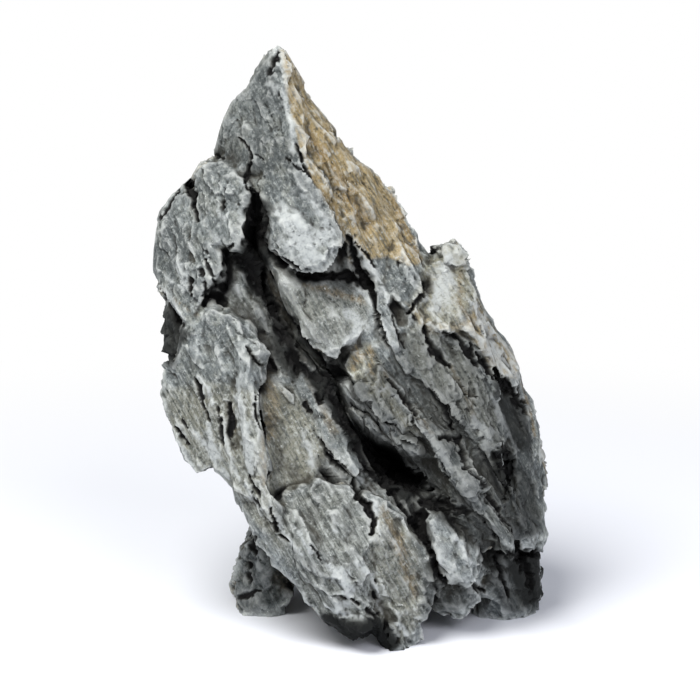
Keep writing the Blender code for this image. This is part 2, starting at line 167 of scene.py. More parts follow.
# How far a normal points at the eye, from -1 to 1: behind up to the first, in front from the second.
TURNING_AWAY = (-0.3, 0.3)
CALMING_ROUNDS, CALMING = 50, 0.85
SHARPENING = ((30, 0.5), (8, 0.8))
LESS_SHARP_BEHIND = 0.5
LONGEST_MOVE, SHORTEST_MOVE = 0.9 * MM, 0.01 * MM

turned_away = 1 - step(facing @ np.array(TO_EYE), *TURNING_AWAY)
points += (spread(points, ends, CALMING_ROUNDS) - points) * (CALMING * turned_away)[:, None]
for rounds, amount in SHARPENING:
    amount = amount * (1 - LESS_SHARP_BEHIND * turned_away)
    move = (points - spread(points, ends, rounds)) * amount[:, None]
    length = np.linalg.norm(move, axis=1, keepdims=True)
    points += move * np.minimum(1, LONGEST_MOVE / np.maximum(length, SHORTEST_MOVE))
    print("sharpened over about", round(rounds ** 0.5 * SKIN_SIZE / MM, 1), "mm")

# %% [markdown]
# Limestone is laid down in layers, and it breaks and dissolves along them. Here they stand on edge,
# and their grain runs down to the right, so every pattern is thin across the layers and long along
# the grain. A point's place is turned to these three directions and divided by the pattern's size
# in each. It is first bent a little by a slow noise, because no layer in a real stone runs straight.
# Slow noises also pick which parts of the stone are ribbed, cracked or stained.

# %% The layers of the stone
GRAIN = Vector((0.50, -0.12, -0.86)).normalized()
LAYER = GRAIN.cross(TO_EYE).normalized()
STONE_TURN = Matrix((LAYER, GRAIN.cross(LAYER), GRAIN)).transposed()
SLOW_BEND = (20 * MM, 4 * MM)
QUICK_BEND = (5 * MM, 0.5 * MM)


def noise_vectors(places):
    return np.array([noise.noise_vector(p) for p in places.tolist()])


def noise_values(places):
    return np.array([noise.noise(p) for p in places.tolist()])


def picked(size, shift, low, high):
    """1 in the parts that a noise of this size in mm picks: it starts at low and is full at high."""
    return step(noise_values(points / (size * MM) + shift), low, high)


def in_layers(places, sizes):
    """Places in pattern units, for a pattern's size across the layers, in them and along the grain."""
    return places @ np.array(STONE_TURN) / sizes


bent = points.copy()
for reach, amount in (SLOW_BEND, QUICK_BEND):
    bent += noise_vectors(points / reach) * amount
print("the grain tilts", round(math.degrees(math.acos(-GRAIN.z))), "degrees from upright")

# %% [markdown]
# The photo shows the stone's front, and its marks are drawn there as they are seen: across, up and
# half a width, in mm. Only points that the front view can see take them, so a ray goes from each
# point towards the eye, and a point whose ray soon meets the stone keeps none.

# %% What the front view sees
DRAWING_SHIFT = (-0.1, 3.0)
FRONT_GAP = 0.6 * MM
FACING_THE_EYE = (0.0, 0.3)
SEEN_ROUNDS = 2
SEEN_TO_IN_FRONT = 3
EDGE_WOBBLE = ((4 * MM, 0.6), (1.5 * MM, 0.3))


def as_tree(mesh, points):
    corners = np.empty(len(mesh.loops), np.int32)
    mesh.loops.foreach_get("vertex_index", corners)
    sizes = np.empty(len(mesh.polygons), np.int32)
    mesh.polygons.foreach_get("loop_total", sizes)
    faces = np.split(corners, np.cumsum(sizes)[:-1])
    return BVHTree.FromPolygons(points.tolist(), [f.tolist() for f in faces])


def seen_from_front(tree, points, facing):
    """1 where the point faces the eye and nothing is in front of it, less where it turns away."""
    share = step(facing @ np.array(TO_EYE), *FACING_THE_EYE)
    for i in np.flatnonzero(share > 0):
        start = Vector(points[i]) + Vector(facing[i]) * FRONT_GAP + TO_EYE * FRONT_GAP
        if tree.ray_cast(start, TO_EYE)[3] is not None:
            share[i] = 0
    return share


def drawn_height(places, wobble=0):
    """How high each point stands in the drawing, in mm."""
    level = (places[:, 2] * math.cos(VIEW_TILT) + places[:, 1] * math.sin(VIEW_TILT)) / MM
    return level + (DRAWING_SHIFT[1] * math.sin(VIEW_TILT) + wobble)


seen = spread(seen_from_front(as_tree(stone.data, points), points, facing), ends, SEEN_ROUNDS)
# A wall that is seen at a slant is only partly seen, and yet it is all in front.
in_front = np.minimum(seen * SEEN_TO_IN_FRONT, 1)
behind = 1 - in_front
wobble = sum(noise_vectors(points / reach) * amount for reach, amount in EDGE_WOBBLE)
across = points[:, 0] / MM + DRAWING_SHIFT[0] + wobble[:, 0]
up = drawn_height(points, wobble[:, 1])
print("the front view sees", round(100 * (seen > 0.5).mean()), "% of the points")

# %% [markdown]
# A mark is a stroke with stations along it, like a line of a brush that is pressed more here and
# less there, or an outline whose inside is one face of the stone. A quick noise makes the strokes
# uneven, because no real crack has a smooth edge.

# %% Strokes and outlines
UNEVENNESS = (2.2, 1.7, -0.35, 0.3)
LEAST_WIDTH, MORE_WIDTH = 0.45, 0.9
# Stations in one place count as this far apart, in square mm, so that nothing is divided by 0.
LEAST_APART = 0.01
# The rim of a face goes over within this many mm on either side.
RIM = 2.0

uneven = LEAST_WIDTH + MORE_WIDTH * picked(*UNEVENNESS)


def stroke(stations):
    """How near each point is to a line of stations: 1 on the line, 0 from half a width outwards."""
    nearest = np.zeros(len(across))
    for (x0, y0, r0), (x1, y1, r1) in zip(stations, stations[1:]):
        reach = max(r0, r1)
        near = np.flatnonzero(
            (across > min(x0, x1) - reach) & (across < max(x0, x1) + reach)
            & (up > min(y0, y1) - reach) & (up < max(y0, y1) + reach) & (seen > 0))
        dx, dy = x1 - x0, y1 - y0
        apart = max(dx * dx + dy * dy, LEAST_APART)
        t = np.clip(((across[near] - x0) * dx + (up[near] - y0) * dy) / apart, 0, 1)
        away = np.hypot(across[near] - x0 - t * dx, up[near] - y0 - t * dy)
        nearest[near] = np.maximum(nearest[near], 1 - away / (r0 + t * (r1 - r0)) / uneven[near])
    return nearest * seen


def inside(corners, soft=RIM):
    """1 inside an outline and 0 outside, going over softly."""
    odd = np.zeros(len(across), bool)
    away = np.full(len(across), np.inf)
    for (x0, y0), (x1, y1) in zip(corners, corners[1:] + corners[:1]):
        crosses = (y0 > up) != (y1 > up)
        odd ^= crosses & (across < (x1 - x0) * (up - y0) / ((y1 - y0) or 1) + x0)
        dx, dy = x1 - x0, y1 - y0
        t = np.clip(((across - x0) * dx + (up - y0) * dy) / (dx * dx + dy * dy), 0, 1)
        away = np.minimum(away, np.hypot(across - x0 - t * dx, up - y0 - t * dy))
    return step(np.where(odd, away, -away), -soft, soft) * in_front


def over_faces(mark, faces, soft=RIM):
    """The mark with each face of a table laid over it, where that is more."""
    for strength, *corners in faces.values():
        mark = np.maximum(mark, strength * inside(corners, soft))
    return mark


drawing_size = np.ptp(across) * np.ptp(up)
print("a square mm of the drawing has about", round((seen > 0.5).sum() / drawing_size, 1), "points")

# %% [markdown]
# These are the cracks and pits of the front, from the peak down to the feet. On the real stone they
# are gaps where a soft layer has gone, and they are black because little light comes out of them.
# Each is cut into the skin further down, and also coloured black, a painted shade, since the cut alone
# is shallow.

# %% Cracks read off the front
# Each crack: its depth in mm, then stations (across, up, half its width), in mm.
CRACKS = {
    "peak_tip": (1.4, (-26.5, 210.5, 0.8), (-28, 207.5, 1.6), (-30, 203.5, 1.2)),
    "arete_dot": (0.8, (-26.5, 196, 0.6), (-25.5, 194, 0.8)),
    "arete": (1.6, (-20, 177.5, 0.5), (-18.5, 173, 0.9), (-17.5, 168.5, 0.8), (-14.5, 164, 0.5)),
    "arete_branch": (1.0, (-23.5, 171.5, 0.4), (-20.5, 168.5, 0.7), (-17.5, 166.5, 0.5)),
    "peak_base": (1.6,
        (-42, 180, 0.4), (-38.5, 177, 0.8), (-36.5, 173, 0.9),
        (-38, 167.5, 0.8), (-38.5, 162.5, 0.9), (-37.5, 159.5, 0.6)),
    "peak_side": (1.2, (-50.5, 173.5, 1.2), (-47.5, 172.5, 0.6)),
    "peak_short": (0.8, (-34.5, 173.5, 0.4), (-31.5, 170.5, 0.5)),
    "ear_gap": (2.2, (-36, 160.5, 0.8), (-34.5, 154, 2), (-34.5, 146, 2.4), (-37, 140, 3)),
    "plate_gap": (2.0, (-33.5, 156.5, 0.5), (-31, 150, 1), (-31, 144.5, 1), (-32.5, 140.5, 0.8)),
    "plate_lower_gap": (2.0,
        (-30.5, 138, 0.6), (-26.5, 135, 1.1), (-22, 132.5, 1.1), (-18.5, 128.5, 1)),
    "dark_pocket": (2.4,
        (-41.5, 133.5, 2.6), (-36.5, 133, 4.4), (-34.5, 126.5, 3.2),
        (-31.5, 119, 2), (-27, 115, 1.6)),
    "ear_hook": (1.6, (-43.5, 139.5, 0.5), (-46, 137.5, 1.2), (-46.5, 133, 0.9)),
    "ear_crack": (1.2, (-54, 134, 0.4), (-51.5, 129.5, 0.9), (-50, 125, 0.5)),
    "ear_pit_one": (1.2, (-55.5, 130, 1.2), (-54.5, 129, 1.2)),
    "ear_pit_two": (1.5, (-59, 127.5, 0.9), (-59.5, 124, 1.4), (-59, 121, 0.8)),
    "ear_pit_three": (1.2, (-54, 126, 0.8), (-54.5, 120.5, 1)),
    "ear_pit_four": (1.6, (-47, 128.5, 1.2), (-47, 123, 1.4)),
    "ear_hole": (1.6, (-47, 155, 1.3), (-46.5, 153, 1.3)),
    "ear_split": (2.6, (-61, 164.5, 1.2), (-59, 159.5, 1.8), (-58, 155, 1.1), (-57, 149, 0.5)),
    "ear_edge": (1.0, (-63, 165.5, 0.7), (-65, 159.5, 0.9), (-68.5, 154.5, 1.1), (-71, 150.5, 1.6)),
    "ear_dot": (0.7, (-53.5, 137, 0.7), (-53, 136.5, 0.7)),
    "streak_shade": (1.8, (-73.5, 125, 0.5), (-69, 119.5, 1.2), (-64, 111.5, 1), (-62, 110, 0.5)),
    "shoulder_cut": (1.6, (-58, 90.5, 0.5), (-56, 86.5, 1.1), (-55, 80.5, 1), (-52, 75, 0.6)),
    "outer_cut": (1.5, (-66, 72, 0.4), (-63, 69, 1.1), (-60.5, 65.5, 0.7)),
    "outer_dots": (0.8, (-63, 75, 0.6), (-60.5, 71.5, 0.8)),
    "rib_shade": (1.6, (-44.5, 80.5, 0.7), (-43.5, 74.5, 1.7), (-44.5, 68.5, 0.7)),
    "rib_shade_left": (1.2, (-49, 80, 0.5), (-48, 72.5, 0.9), (-47, 65.5, 0.5)),
    "shoulder_line": (1.0, (-38.5, 102, 0.4), (-36, 98.5, 0.8), (-33, 95, 0.5)),
    "hollow_edge": (1.4, (-33, 89, 0.4), (-35, 82, 1), (-34, 75.5, 0.8), (-31.5, 70.5, 0.4)),
    "low_rib_cut": (1.3, (-37, 54.5, 0.5), (-35, 50, 1.1), (-33, 46.5, 0.6)),
    "low_rib_line": (1.0, (-36.5, 48, 0.4), (-33.5, 43, 0.8)),
    "toe_side_cut": (1.5, (-29.5, 43, 0.4), (-28, 38, 1), (-26.5, 33, 0.9), (-23, 30, 0.5)),
    "toe_scratch": (1.0, (-14.5, 29, 0.4), (-12, 25.5, 0.8), (-10, 22.5, 0.5)),
    "inner_cut": (1.8, (-11.5, 68, 0.4), (-9, 63, 0.9), (-6.5, 59.5, 1.1), (-0.5, 55, 0.4)),
    "toe_pit": (2.4, (1, 53, 1), (3, 47.5, 2.3), (6.5, 43, 1.6), (8.5, 38.5, 1.4), (8, 33.5, 1.4)),
    "toe_nick_one": (1.0, (-4, 10, 0.5), (-1.5, 8.5, 0.6)),
    "toe_nick_two": (1.4, (0, 9.5, 0.6), (3, 6, 1)),
    "toe_nick_three": (1.0, (9, 17, 0.5), (9.5, 15, 0.6)),
    "toe_nick_four": (1.2, (8.5, 11, 0.7), (9, 8.5, 0.7)),
    "toe_lip": (1.6, (6, 5, 0.8), (9, 2.5, 1.8)),
    "toe_right": (2.4,
        (12, 51.5, 1.2), (19.5, 41, 1), (24.5, 34.5, 1.2), (28.5, 29, 1.1), (32, 21, 0.7)),
    "low_plate_cut": (1.8, (31.5, 20, 0.5), (34.5, 17, 1.4), (36.5, 15.5, 0.6)),
    "low_plate_nick": (1.6, (45, 14, 0.5), (47.5, 11, 1.2), (50.5, 9.5, 0.5)),
    "small_plate_edge": (1.8, (27, 125.5, 0.6), (27, 121, 1.1), (24, 117.5, 0.9), (21.5, 114, 0.5)),
    "small_plate_dot": (0.8, (23.5, 113, 0.8), (24.5, 112, 0.8)),
    "corner_dot": (0.8, (17.5, 134, 0.8), (18.5, 132.5, 0.8)),
    "upper_gap": (2.4,
        (-0.5, 143, 0.8), (1, 136.5, 1.6), (4, 130, 1.8), (8, 123.5, 1.6),
        (9.5, 117, 0.9), (11.5, 108, 0.7), (14, 102, 0.5)),
    "upper_gap_line": (1.2, (1.5, 140.5, 0.4), (6.5, 136, 0.5), (9, 131.5, 0.4)),
    "thin_rib_line": (1.0, (15.5, 113.5, 0.4), (17.5, 107, 0.7), (20, 101, 0.4)),
    "under_plate": (2.4, (-17.5, 128, 0.7), (-10, 128.5, 1.6), (-0.5, 128, 2.2), (6.5, 124.5, 1.6)),
    "spike_gap_left": (2.4, (27, 109.5, 0.6), (29, 103.5, 2), (32.5, 98.5, 1.8), (37, 94.5, 0.9)),
    "spike_gap_right": (2.2, (34.5, 107, 0.6), (39.5, 105.5, 1.3), (44, 101, 1.8), (47, 95, 1.2)),
    "rim_gap": (2.6, (47, 100, 0.8), (53, 91, 1.8), (60, 86, 3), (66.5, 78, 2)),
    "knuckle_line": (1.4, (13, 90.5, 0.4), (17.5, 85.5, 0.8), (22, 80, 0.8), (25, 76.5, 0.5)),
    "ridge_hole": (1.4, (23.5, 76, 0.9), (24, 72.5, 1.1)),
    "mass_cut_one": (1.6, (29.5, 86, 0.5), (35.5, 78, 1), (38, 71, 0.7)),
    "mass_pocket": (2.2, (33.5, 68, 1.2), (40, 67.5, 1.6), (42, 62.5, 2.2), (43, 57, 1.4)),
    "mass_line": (1.2, (34, 58.5, 0.4), (36.5, 54, 0.9), (39, 51.5, 0.5)),
    "lower_ridge_line": (1.6, (43, 56.5, 0.8), (47.5, 52, 1), (53, 44.5, 1), (59, 33.5, 0.7)),
    "right_hollow": (2.6, (54, 61, 2), (57.5, 61, 4), (58.5, 53.5, 3.2), (57.5, 48, 1.4)),
    "cleft_floor": (2.6, (2.5, 65.5, 1.8), (9, 57.5, 4.5), (20, 53, 6), (25, 52, 4)),
    "cleft_lower": (2.0, (27.5, 44, 2.2), (35.5, 43.5, 2.6), (43, 40.5, 1.6)),
    "cleft_upper": (2.0,
        (-30, 117.5, 1.6), (-27, 111.5, 2.2), (-22, 102, 2.8),
        (-19.5, 94, 2.4), (-10, 91, 2.6)),
    "cleft_middle": (1.8, (-9.5, 89, 0.8), (-6.5, 83, 1), (-4, 76.5, 1), (0.5, 68.5, 1.2)),
    "small_pocket": (1.6, (-17, 80.5, 1.2), (-15.5, 77.5, 1.4)),
    "small_pocket_two": (1.6, (-13, 84, 1), (-11.5, 81.5, 1.4), (-9.5, 83, 1)),
    "right_foot_top": (2.2, (56, 25, 1), (62.5, 23.5, 2.4), (70.5, 23, 2.2)),
    "right_foot_face": (3.0, (65, 21.5, 2), (67.5, 15, 2.4), (69, 9.5, 1.6)),
    "right_foot_groove": (1.6, (54, 23, 0.6), (57, 15, 1), (60, 7, 0.6)),
    "back_foot_top": (1.8, (-36, 31, 1.6), (-37.5, 24.5, 2.2)),
    "back_foot_pit": (1.4, (-38.5, 14, 1.8), (-38, 13, 1.6)),
    "back_foot_hole": (2.0, (-38.5, 19.5, 1.3), (-37.5, 17.5, 1)),
    "back_foot_line": (1.4, (-41, 6.5, 1.4), (-37, 8, 1.2), (-33.5, 9.5, 0.6)),
}
print(len(CRACKS), "cracks, the deepest", max(depth for depth, *_ in CRACKS.values()), "mm")

# %% [markdown]
# Calcite is paler than the rest and dissolves more slowly, so it stands out on lips, rims and crests.
# These strokes raise the skin by a fraction of a millimetre and lighten it. The foot's glint is
# a painted highlight, and the bright plate is partly paler stone and partly painted light.

# %% Pale marks read off the front
# Each pale mark: how far it stands out in mm, then stations as above.
PALE_MARKS = {
    "arete_line": (0.3,
        (-25.5, 202, 0.8), (-25, 196.5, 0.9), (-23.5, 188.5, 0.9),
        (-21, 180.5, 1.3), (-21, 173.5, 1.3)),
    "arete_specks": (0.2, (-30.5, 200, 1.3), (-27.5, 198, 1.8), (-28, 196, 1)),
    "tip_specks": (0.2, (-29.5, 210.5, 1.2), (-26.5, 212, 1.2)),
    "ear_hole_rim": (0.5, (-49.5, 155.5, 0.6), (-48.5, 151, 1.1), (-46, 149, 1), (-44, 152.5, 0.6)),
    "ear_light": (0.3, (-53, 145, 0.5), (-49.5, 142, 0.9), (-47.5, 140, 0.6)),
    "ear_bright": (0.4, (-64, 134, 2), (-62, 128.5, 3.2), (-61, 123.5, 2)),
    "ear_streak": (0.5, (-73, 127, 0.6), (-67.5, 121, 1.1), (-63, 114, 1)),
    "ear_streak_two": (0.3, (-72, 131, 0.4), (-67.5, 127, 0.7), (-64, 124.5, 0.5)),
    "wall_streak": (0.4, (-43.5, 127, 0.7), (-41.5, 122.5, 1.1), (-40.5, 119, 0.8)),
    "wall_streak_two": (0.4, (-34, 116.5, 0.7), (-32.5, 112, 1.1), (-30.5, 107, 0.9)),
    "wall_streak_three": (0.3, (-29.5, 106.5, 0.6), (-28.5, 102, 0.9)),
    "shoulder_white": (0.5, (-38.5, 110, 0.5), (-34.5, 105.5, 0.8), (-31.5, 102, 1.3)),
    "cut_edge": (0.5, (-56.5, 91.5, 0.6), (-52.5, 86, 1), (-50.5, 79, 0.9)),
    "main_rib": (0.7,
        (-41, 91, 1.4), (-40.5, 81.5, 2.6), (-39, 72, 3.2),
        (-37.5, 63, 3.4), (-36.5, 56, 2.2)),
    "rib_left_edge": (0.3, (-46.5, 68.5, 0.6), (-44.5, 61, 1), (-41, 53, 1)),
    "outer_pale": (0.4, (-70.5, 81.5, 1.2), (-68.5, 72, 1.8), (-64, 64, 1.8), (-58.5, 57, 1.4)),
    "outer_white": (0.4, (-52.5, 73.5, 1), (-51.5, 65.5, 2.6), (-48.5, 61.5, 2)),
    "low_rib_white": (0.5,
        (-38.5, 51.5, 0.8), (-36.5, 46.5, 1.2), (-33.5, 42.5, 1), (-31.5, 42.5, 0.6)),
    "toe_streak_one": (0.3, (-21, 36.5, 0.5), (-18, 32.5, 0.9), (-14.5, 26, 0.8)),
    "toe_streak_two": (0.3, (-26.5, 36.5, 0.4), (-21, 29, 0.8), (-18, 26, 0.6)),
    "toe_white": (0.3, (-7, 21.5, 2), (-3, 18, 4.5), (-0.5, 12, 4), (-3, 5.5, 3)),
    "toe_white_edge": (0.4, (2.5, 23, 0.8), (7.5, 18, 1.2), (10, 12, 1), (11, 4, 1.2)),
    "toe_lip_light": (0.4, (-10, 7, 1), (-4, 3.5, 1.4), (4, 2.5, 1.2)),
    "toe_spot": (0.3, (-6, 34.5, 1), (-5, 34, 1)),
    "toe_tip": (0.3, (17, 0, 1), (20, -4, 1.2), (21.5, -7, 0.8)),
    "cleft_lip": (0.5, (1, 65.5, 0.5), (3, 60, 1), (5.5, 56, 0.6)),
    "pit_lip": (0.5, (2, 54, 0.7), (6, 50.5, 1.1), (10.5, 46.5, 0.8)),
    "pit_spots": (0.4, (8.5, 45, 1.2), (10, 38, 0.8), (10.5, 32, 0.8)),
    # Partly paler stone, partly painted light where the plate faces the lamps.
    "bright_plate": (0.0, (-26, 152.5, 3.5), (-19.5, 143, 8.5), (-15, 138, 8), (-10, 143, 4)),
    "plate_edge": (0.4,
        (-17.5, 158.5, 0.8), (-13.5, 154, 1.2), (-9.5, 149, 1.5),
        (-6.5, 143, 1.2), (-7, 136.5, 1.2)),
    "middle_corner": (0.5, (1, 124.5, 0.5), (5.5, 121.5, 1.4), (8, 117.5, 0.8)),
    "middle_bright": (0.2, (-0.5, 114.5, 3), (3.5, 110, 4.5), (-0.5, 103.5, 3)),
    "middle_edge": (0.4, (-19.5, 110, 0.6), (-17, 103.5, 1.2), (-13.5, 98, 1.8), (-11, 97.5, 1.2)),
    "inner_white": (0.3, (-17.5, 70.5, 1.2), (-15, 64, 2.2), (-13.5, 56, 2.2)),
    "knuckle_white": (0.5, (9.5, 85, 0.8), (13.5, 86.5, 1.8), (17.5, 83, 1.2), (21.5, 79, 0.7)),
    "thin_rib_white": (0.4, (6.5, 135, 0.6), (9.5, 129.5, 1), (12, 124, 0.8), (14, 117.5, 0.7)),
    "rib_bright_two": (0.3, (12, 110.5, 0.5), (14.5, 104.5, 1), (15.5, 102, 0.6)),
    "gap_lip": (0.4, (0.5, 141, 0.4), (4.5, 135.5, 1), (7, 131, 0.9)),
    "spike_lip": (0.5, (27, 112.5, 0.6), (31, 109.5, 1.3), (35, 106.5, 1.6), (38, 107.5, 0.9)),
    "spike_face": (0.0, (37, 136.5, 2), (35.5, 127, 6), (32.5, 117.5, 6)),
    "rim_face": (0.0, (46.5, 117.5, 2.5), (51.5, 106.5, 4.5), (57.5, 95.5, 4.5), (63.5, 90, 2)),
    "rim_lip": (0.4, (44.5, 119, 0.6), (48.5, 114.5, 1), (57.5, 103.5, 0.9), (63.5, 94, 0.8)),
    "ridge_face": (0.4, (21.5, 78, 1.2), (27.5, 70.5, 2.2), (33.5, 64, 2.4), (36.5, 57.5, 1.4)),
    "ridge_line": (0.4, (37, 56, 0.4), (41.5, 52.5, 0.8), (45, 46.5, 0.6)),
    "right_ridge": (0.5, (52.5, 83, 0.7), (56.5, 74, 1.5), (61, 67, 1.2), (63.5, 62.5, 0.8)),
    "right_patch": (0.2, (45.5, 73.5, 3), (50.5, 70.5, 4), (50, 64, 2)),
    "lower_spot": (0.5, (48.5, 54, 0.8), (50.5, 50, 1.3)),
    "lower_ridge": (0.4, (53, 48, 0.5), (57.5, 41, 1), (61, 34, 0.9), (65, 26.5, 0.8)),
    "right_edge_lip": (0.4, (60.5, 27, 0.7), (66.5, 26, 1), (71.5, 24, 0.8)),
    "back_foot_light": (0.5, (-35.5, 19.5, 1.2), (-34, 16.5, 1)),
    "back_foot_low_light": (0.5, (-38.5, 7.5, 0.9), (-34.5, 8.5, 1.2), (-30.5, 11, 0.7)),
    "low_mass_light": (0.0, (-58, 70.5, 1.2), (-51, 61, 1.8), (-45, 53, 1.2)),
    "low_plate_face": (0.0, (38, 32, 1.4), (43, 26, 2.2), (45, 21.5, 1.4)),
    "low_plate_lip": (0.5, (30.5, 28.5, 0.8), (33, 21.5, 1.2), (38, 16.5, 1.2)),
    "low_plate_end": (0.4, (44, 16.5, 0.8), (47, 13.5, 1.3), (50.5, 11, 0.8)),
    "low_plate_rim": (0.3, (41.5, 33, 0.6), (46.5, 29, 1), (48, 23.5, 0.9)),
    "far_edge": (0.4, (62.5, 80, 0.6), (64.5, 76.5, 1), (67.5, 70.5, 0.8)),
    # A painted highlight.
    "foot_glint": (0.3, (-41, 9.5, 1.2), (-36, 8.5, 1), (-33, 9.5, 1)),
    "foot_spot": (0.3, (-36.5, 24.5, 1.2), (-35.5, 23.5, 1)),
}
print(len(PALE_MARKS), "pale marks")

# %% [markdown]
# Water that ran off the soil has left iron in streaks below edges and in hollows. A stain has colour
# and no thickness, so these strokes leave the shape alone.

# %% Stains read off the front
# Each stain: its strength, then stations as above.
STAINS = {
    "peak_streaks": (1.0, (-15, 181, 3), (-4, 162, 5), (5.5, 149, 5)),
    "rusty_rim": (1.0, (14.5, 161.5, 1), (18.5, 152.5, 2.2), (22.5, 142, 2.4), (26, 134, 1.6)),
    "arete_low": (0.8, (-15.5, 166.5, 0.8), (-5.5, 152.5, 1.2), (-2, 143, 1.2), (0.5, 133.5, 1.2)),
    "middle_top": (0.7, (-18, 125, 1), (-7, 122.5, 2), (4, 119, 2)),
    "knuckle_brown": (0.8, (2, 102, 1.6), (1.5, 94.5, 2), (7.5, 102, 1.2), (8, 92.5, 1.6)),
    "ridge_brown": (0.6, (12, 92.5, 0.8), (20, 81.5, 1), (27.5, 73, 1.4), (32, 67, 1)),
    "hollow_brown": (0.6, (-30.5, 92.5, 3), (-29, 80, 4.5), (-31.5, 64, 2.6), (-31.5, 51.5, 2.2)),
    "toe_brown": (0.7, (12, 42, 2), (16.5, 32.5, 3.5), (20, 21.5, 3), (23.5, 10.5, 2.5)),
    "streak_brown": (0.8, (-71.5, 124, 0.5), (-68.5, 121.5, 0.7), (-56, 113, 0.6)),
    "cleft_brown": (0.5, (-35.5, 140, 3), (-10, 78, 2), (-5.5, 70.5, 3)),
    "spike_brown": (0.6, (39.5, 143, 1.2), (42, 133.5, 1.4), (40.5, 119, 1.6), (44.5, 111.5, 1.6)),
    "mass_brown": (0.5, (37, 95.5, 1), (42, 86, 3), (45, 76.5, 2)),
    "right_edge_brown": (0.8, (65, 89, 1), (68, 78, 1.2), (69.5, 68.5, 1)),
    "rib_brown": (0.5, (-44, 80, 1.6), (-43.5, 70.5, 1.6)),
    "foot_brown": (0.6, (-27.5, 15, 3), (-23, 8.5, 2.4)),
    "bright_edge_brown": (0.5, (-4, 141.5, 1.2), (-3, 133.5, 1.2)),
}
print(len(STAINS), "stains")

# %% [markdown]
# Whole faces differ as well: some are brown with iron, some are painted dark as shade, and on
# some the thin layers stand on edge. One outline a face is drawn, and its rim is soft.

# %% Faces that are brown, painted dark as shade, or ribbed
# Faces brown with iron: how brown, and the outline as it is seen, in mm.
OCHRE_FACES = {
    "peak_right": (1.0,
        (-26, 211.5), (-24, 200), (-21.5, 187), (-18.5, 176), (-15, 165), (-5.5, 148.5), (-0.5, 140),
        (5.5, 134.5), (13.5, 135.5), (22, 132), (27, 133.5), (21.5, 146), (14.5, 163.5), (21.5, 170),
        (9, 181), (-0.5, 193.5), (-8.5, 208.5), (-21, 217)),
    "right_rim": (0.7,
        (48, 121), (53, 111), (59, 103), (63, 97), (64, 89), (58, 91), (52, 94), (48, 102), (43, 108),
        (45, 116)),
    "spike_lip": (0.5,
        (20, 119), (31, 111.5), (37, 110.5), (43.5, 112), (43.5, 106.5), (35.5, 106), (27.5, 106.5)),
}

# Faces painted dark as shade: how dark, and the outline as it is seen, in mm.
SHADES = {
    "under_streak": (0.8,
        (-73.5, 123.5), (-62.5, 109.5), (-57.5, 106.5), (-63, 102.5), (-65.5, 94), (-69, 94),
        (-72, 108)),
    "ear_gap": (0.9,
        (-37, 160.5), (-29.5, 155.5), (-29, 140), (-29, 133.5), (-31.5, 125.5), (-25.5, 115.5),
        (-25.5, 113.5), (-28.5, 114), (-34, 119), (-38.5, 122), (-40, 128.5), (-45.5, 133.5),
        (-38.5, 143)),
    "channel_wall": (0.3,
        (-45.5, 132), (-40, 128.5), (-38.5, 122), (-28.5, 114), (-29.5, 107.5), (-30, 98),
        (-35.5, 110.5), (-45, 116)),
    "channel": (0.75,
        (-29, 114), (-25, 114), (-21, 108), (-15, 94), (-21, 87.5), (-29.5, 98.5), (-29.5, 107.5)),
    "cleft": (0.9,
        (-19.5, 94), (-8, 92), (-4, 78), (3.5, 68), (20, 61.5), (28.5, 53), (21.5, 42), (5.5, 54.5),
        (-10, 80)),
    "right_dark": (0.7,
        (53, 64), (62.5, 61), (70.5, 50), (73.5, 31), (59.5, 29), (54, 45), (51.5, 54.5)),
    "right_foot": (0.65,
        (46.5, 31), (72, 24.5), (73.5, 1), (59.5, 1), (51.5, 12)),
    "foot_hollow": (0.92,
        (56.5, 26), (75, 25.5), (76, 7), (70.5, 3), (65, 2.5), (62, 10.5), (58.5, 17.5)),
    "right_pocket": (0.95,
        (52, 62), (57, 64.5), (62, 61.5), (63, 53), (60, 49.5), (55.5, 51), (52.5, 56)),
    "toe_under": (1.0,
        (-11, 3.5), (-3, 2), (5, 2), (6, 3.5), (10.5, 2), (12.5, -0.5), (15.5, -1.5), (17.5, -5.5),
        (18.5, -9.5), (13.5, -12.5), (-0.5, -11), (-10, -5.5)),
    "back_foot": (0.5,
        (-37, 34), (-45, 7), (-43.5, 0), (-19.5, 5.5), (-29, 23)),
    "low_mass": (0.5,
        (27, 23), (42, 15), (48.5, 7), (37, 1), (26, 1), (25.5, 15)),
    "far_right": (0.8,
        (51.5, 94), (67, 80), (69, 61), (61, 64), (53, 83)),
    "right_mass": (0.5,
        (12, 97), (27.5, 111.5), (46.5, 103.5), (69, 68.5), (70.5, 38.5), (57.5, 29), (27.5, 46.5),
        (5.5, 68.5), (-0.5, 89)),
    "peak_left": (0.36,
        (-29, 212.5), (-21, 176), (-18, 166.5), (-35.5, 165), (-51, 173), (-51, 182.5), (-41.5, 201.5)),
    "outer_ear": (0.2,
        (-75, 165), (-37, 171.5), (-37, 140), (-57.5, 114.5), (-75, 124)),
    "spike": (0.12,
        (40, 146), (27, 135), (25, 127), (21.5, 114.5), (31, 108), (45.5, 116), (48.5, 121), (44, 132)),
    "lower_cleft": (0.6,
        (24.5, 46.5), (46.5, 46.5), (53, 31), (46.5, 26), (34, 35.5)),
}

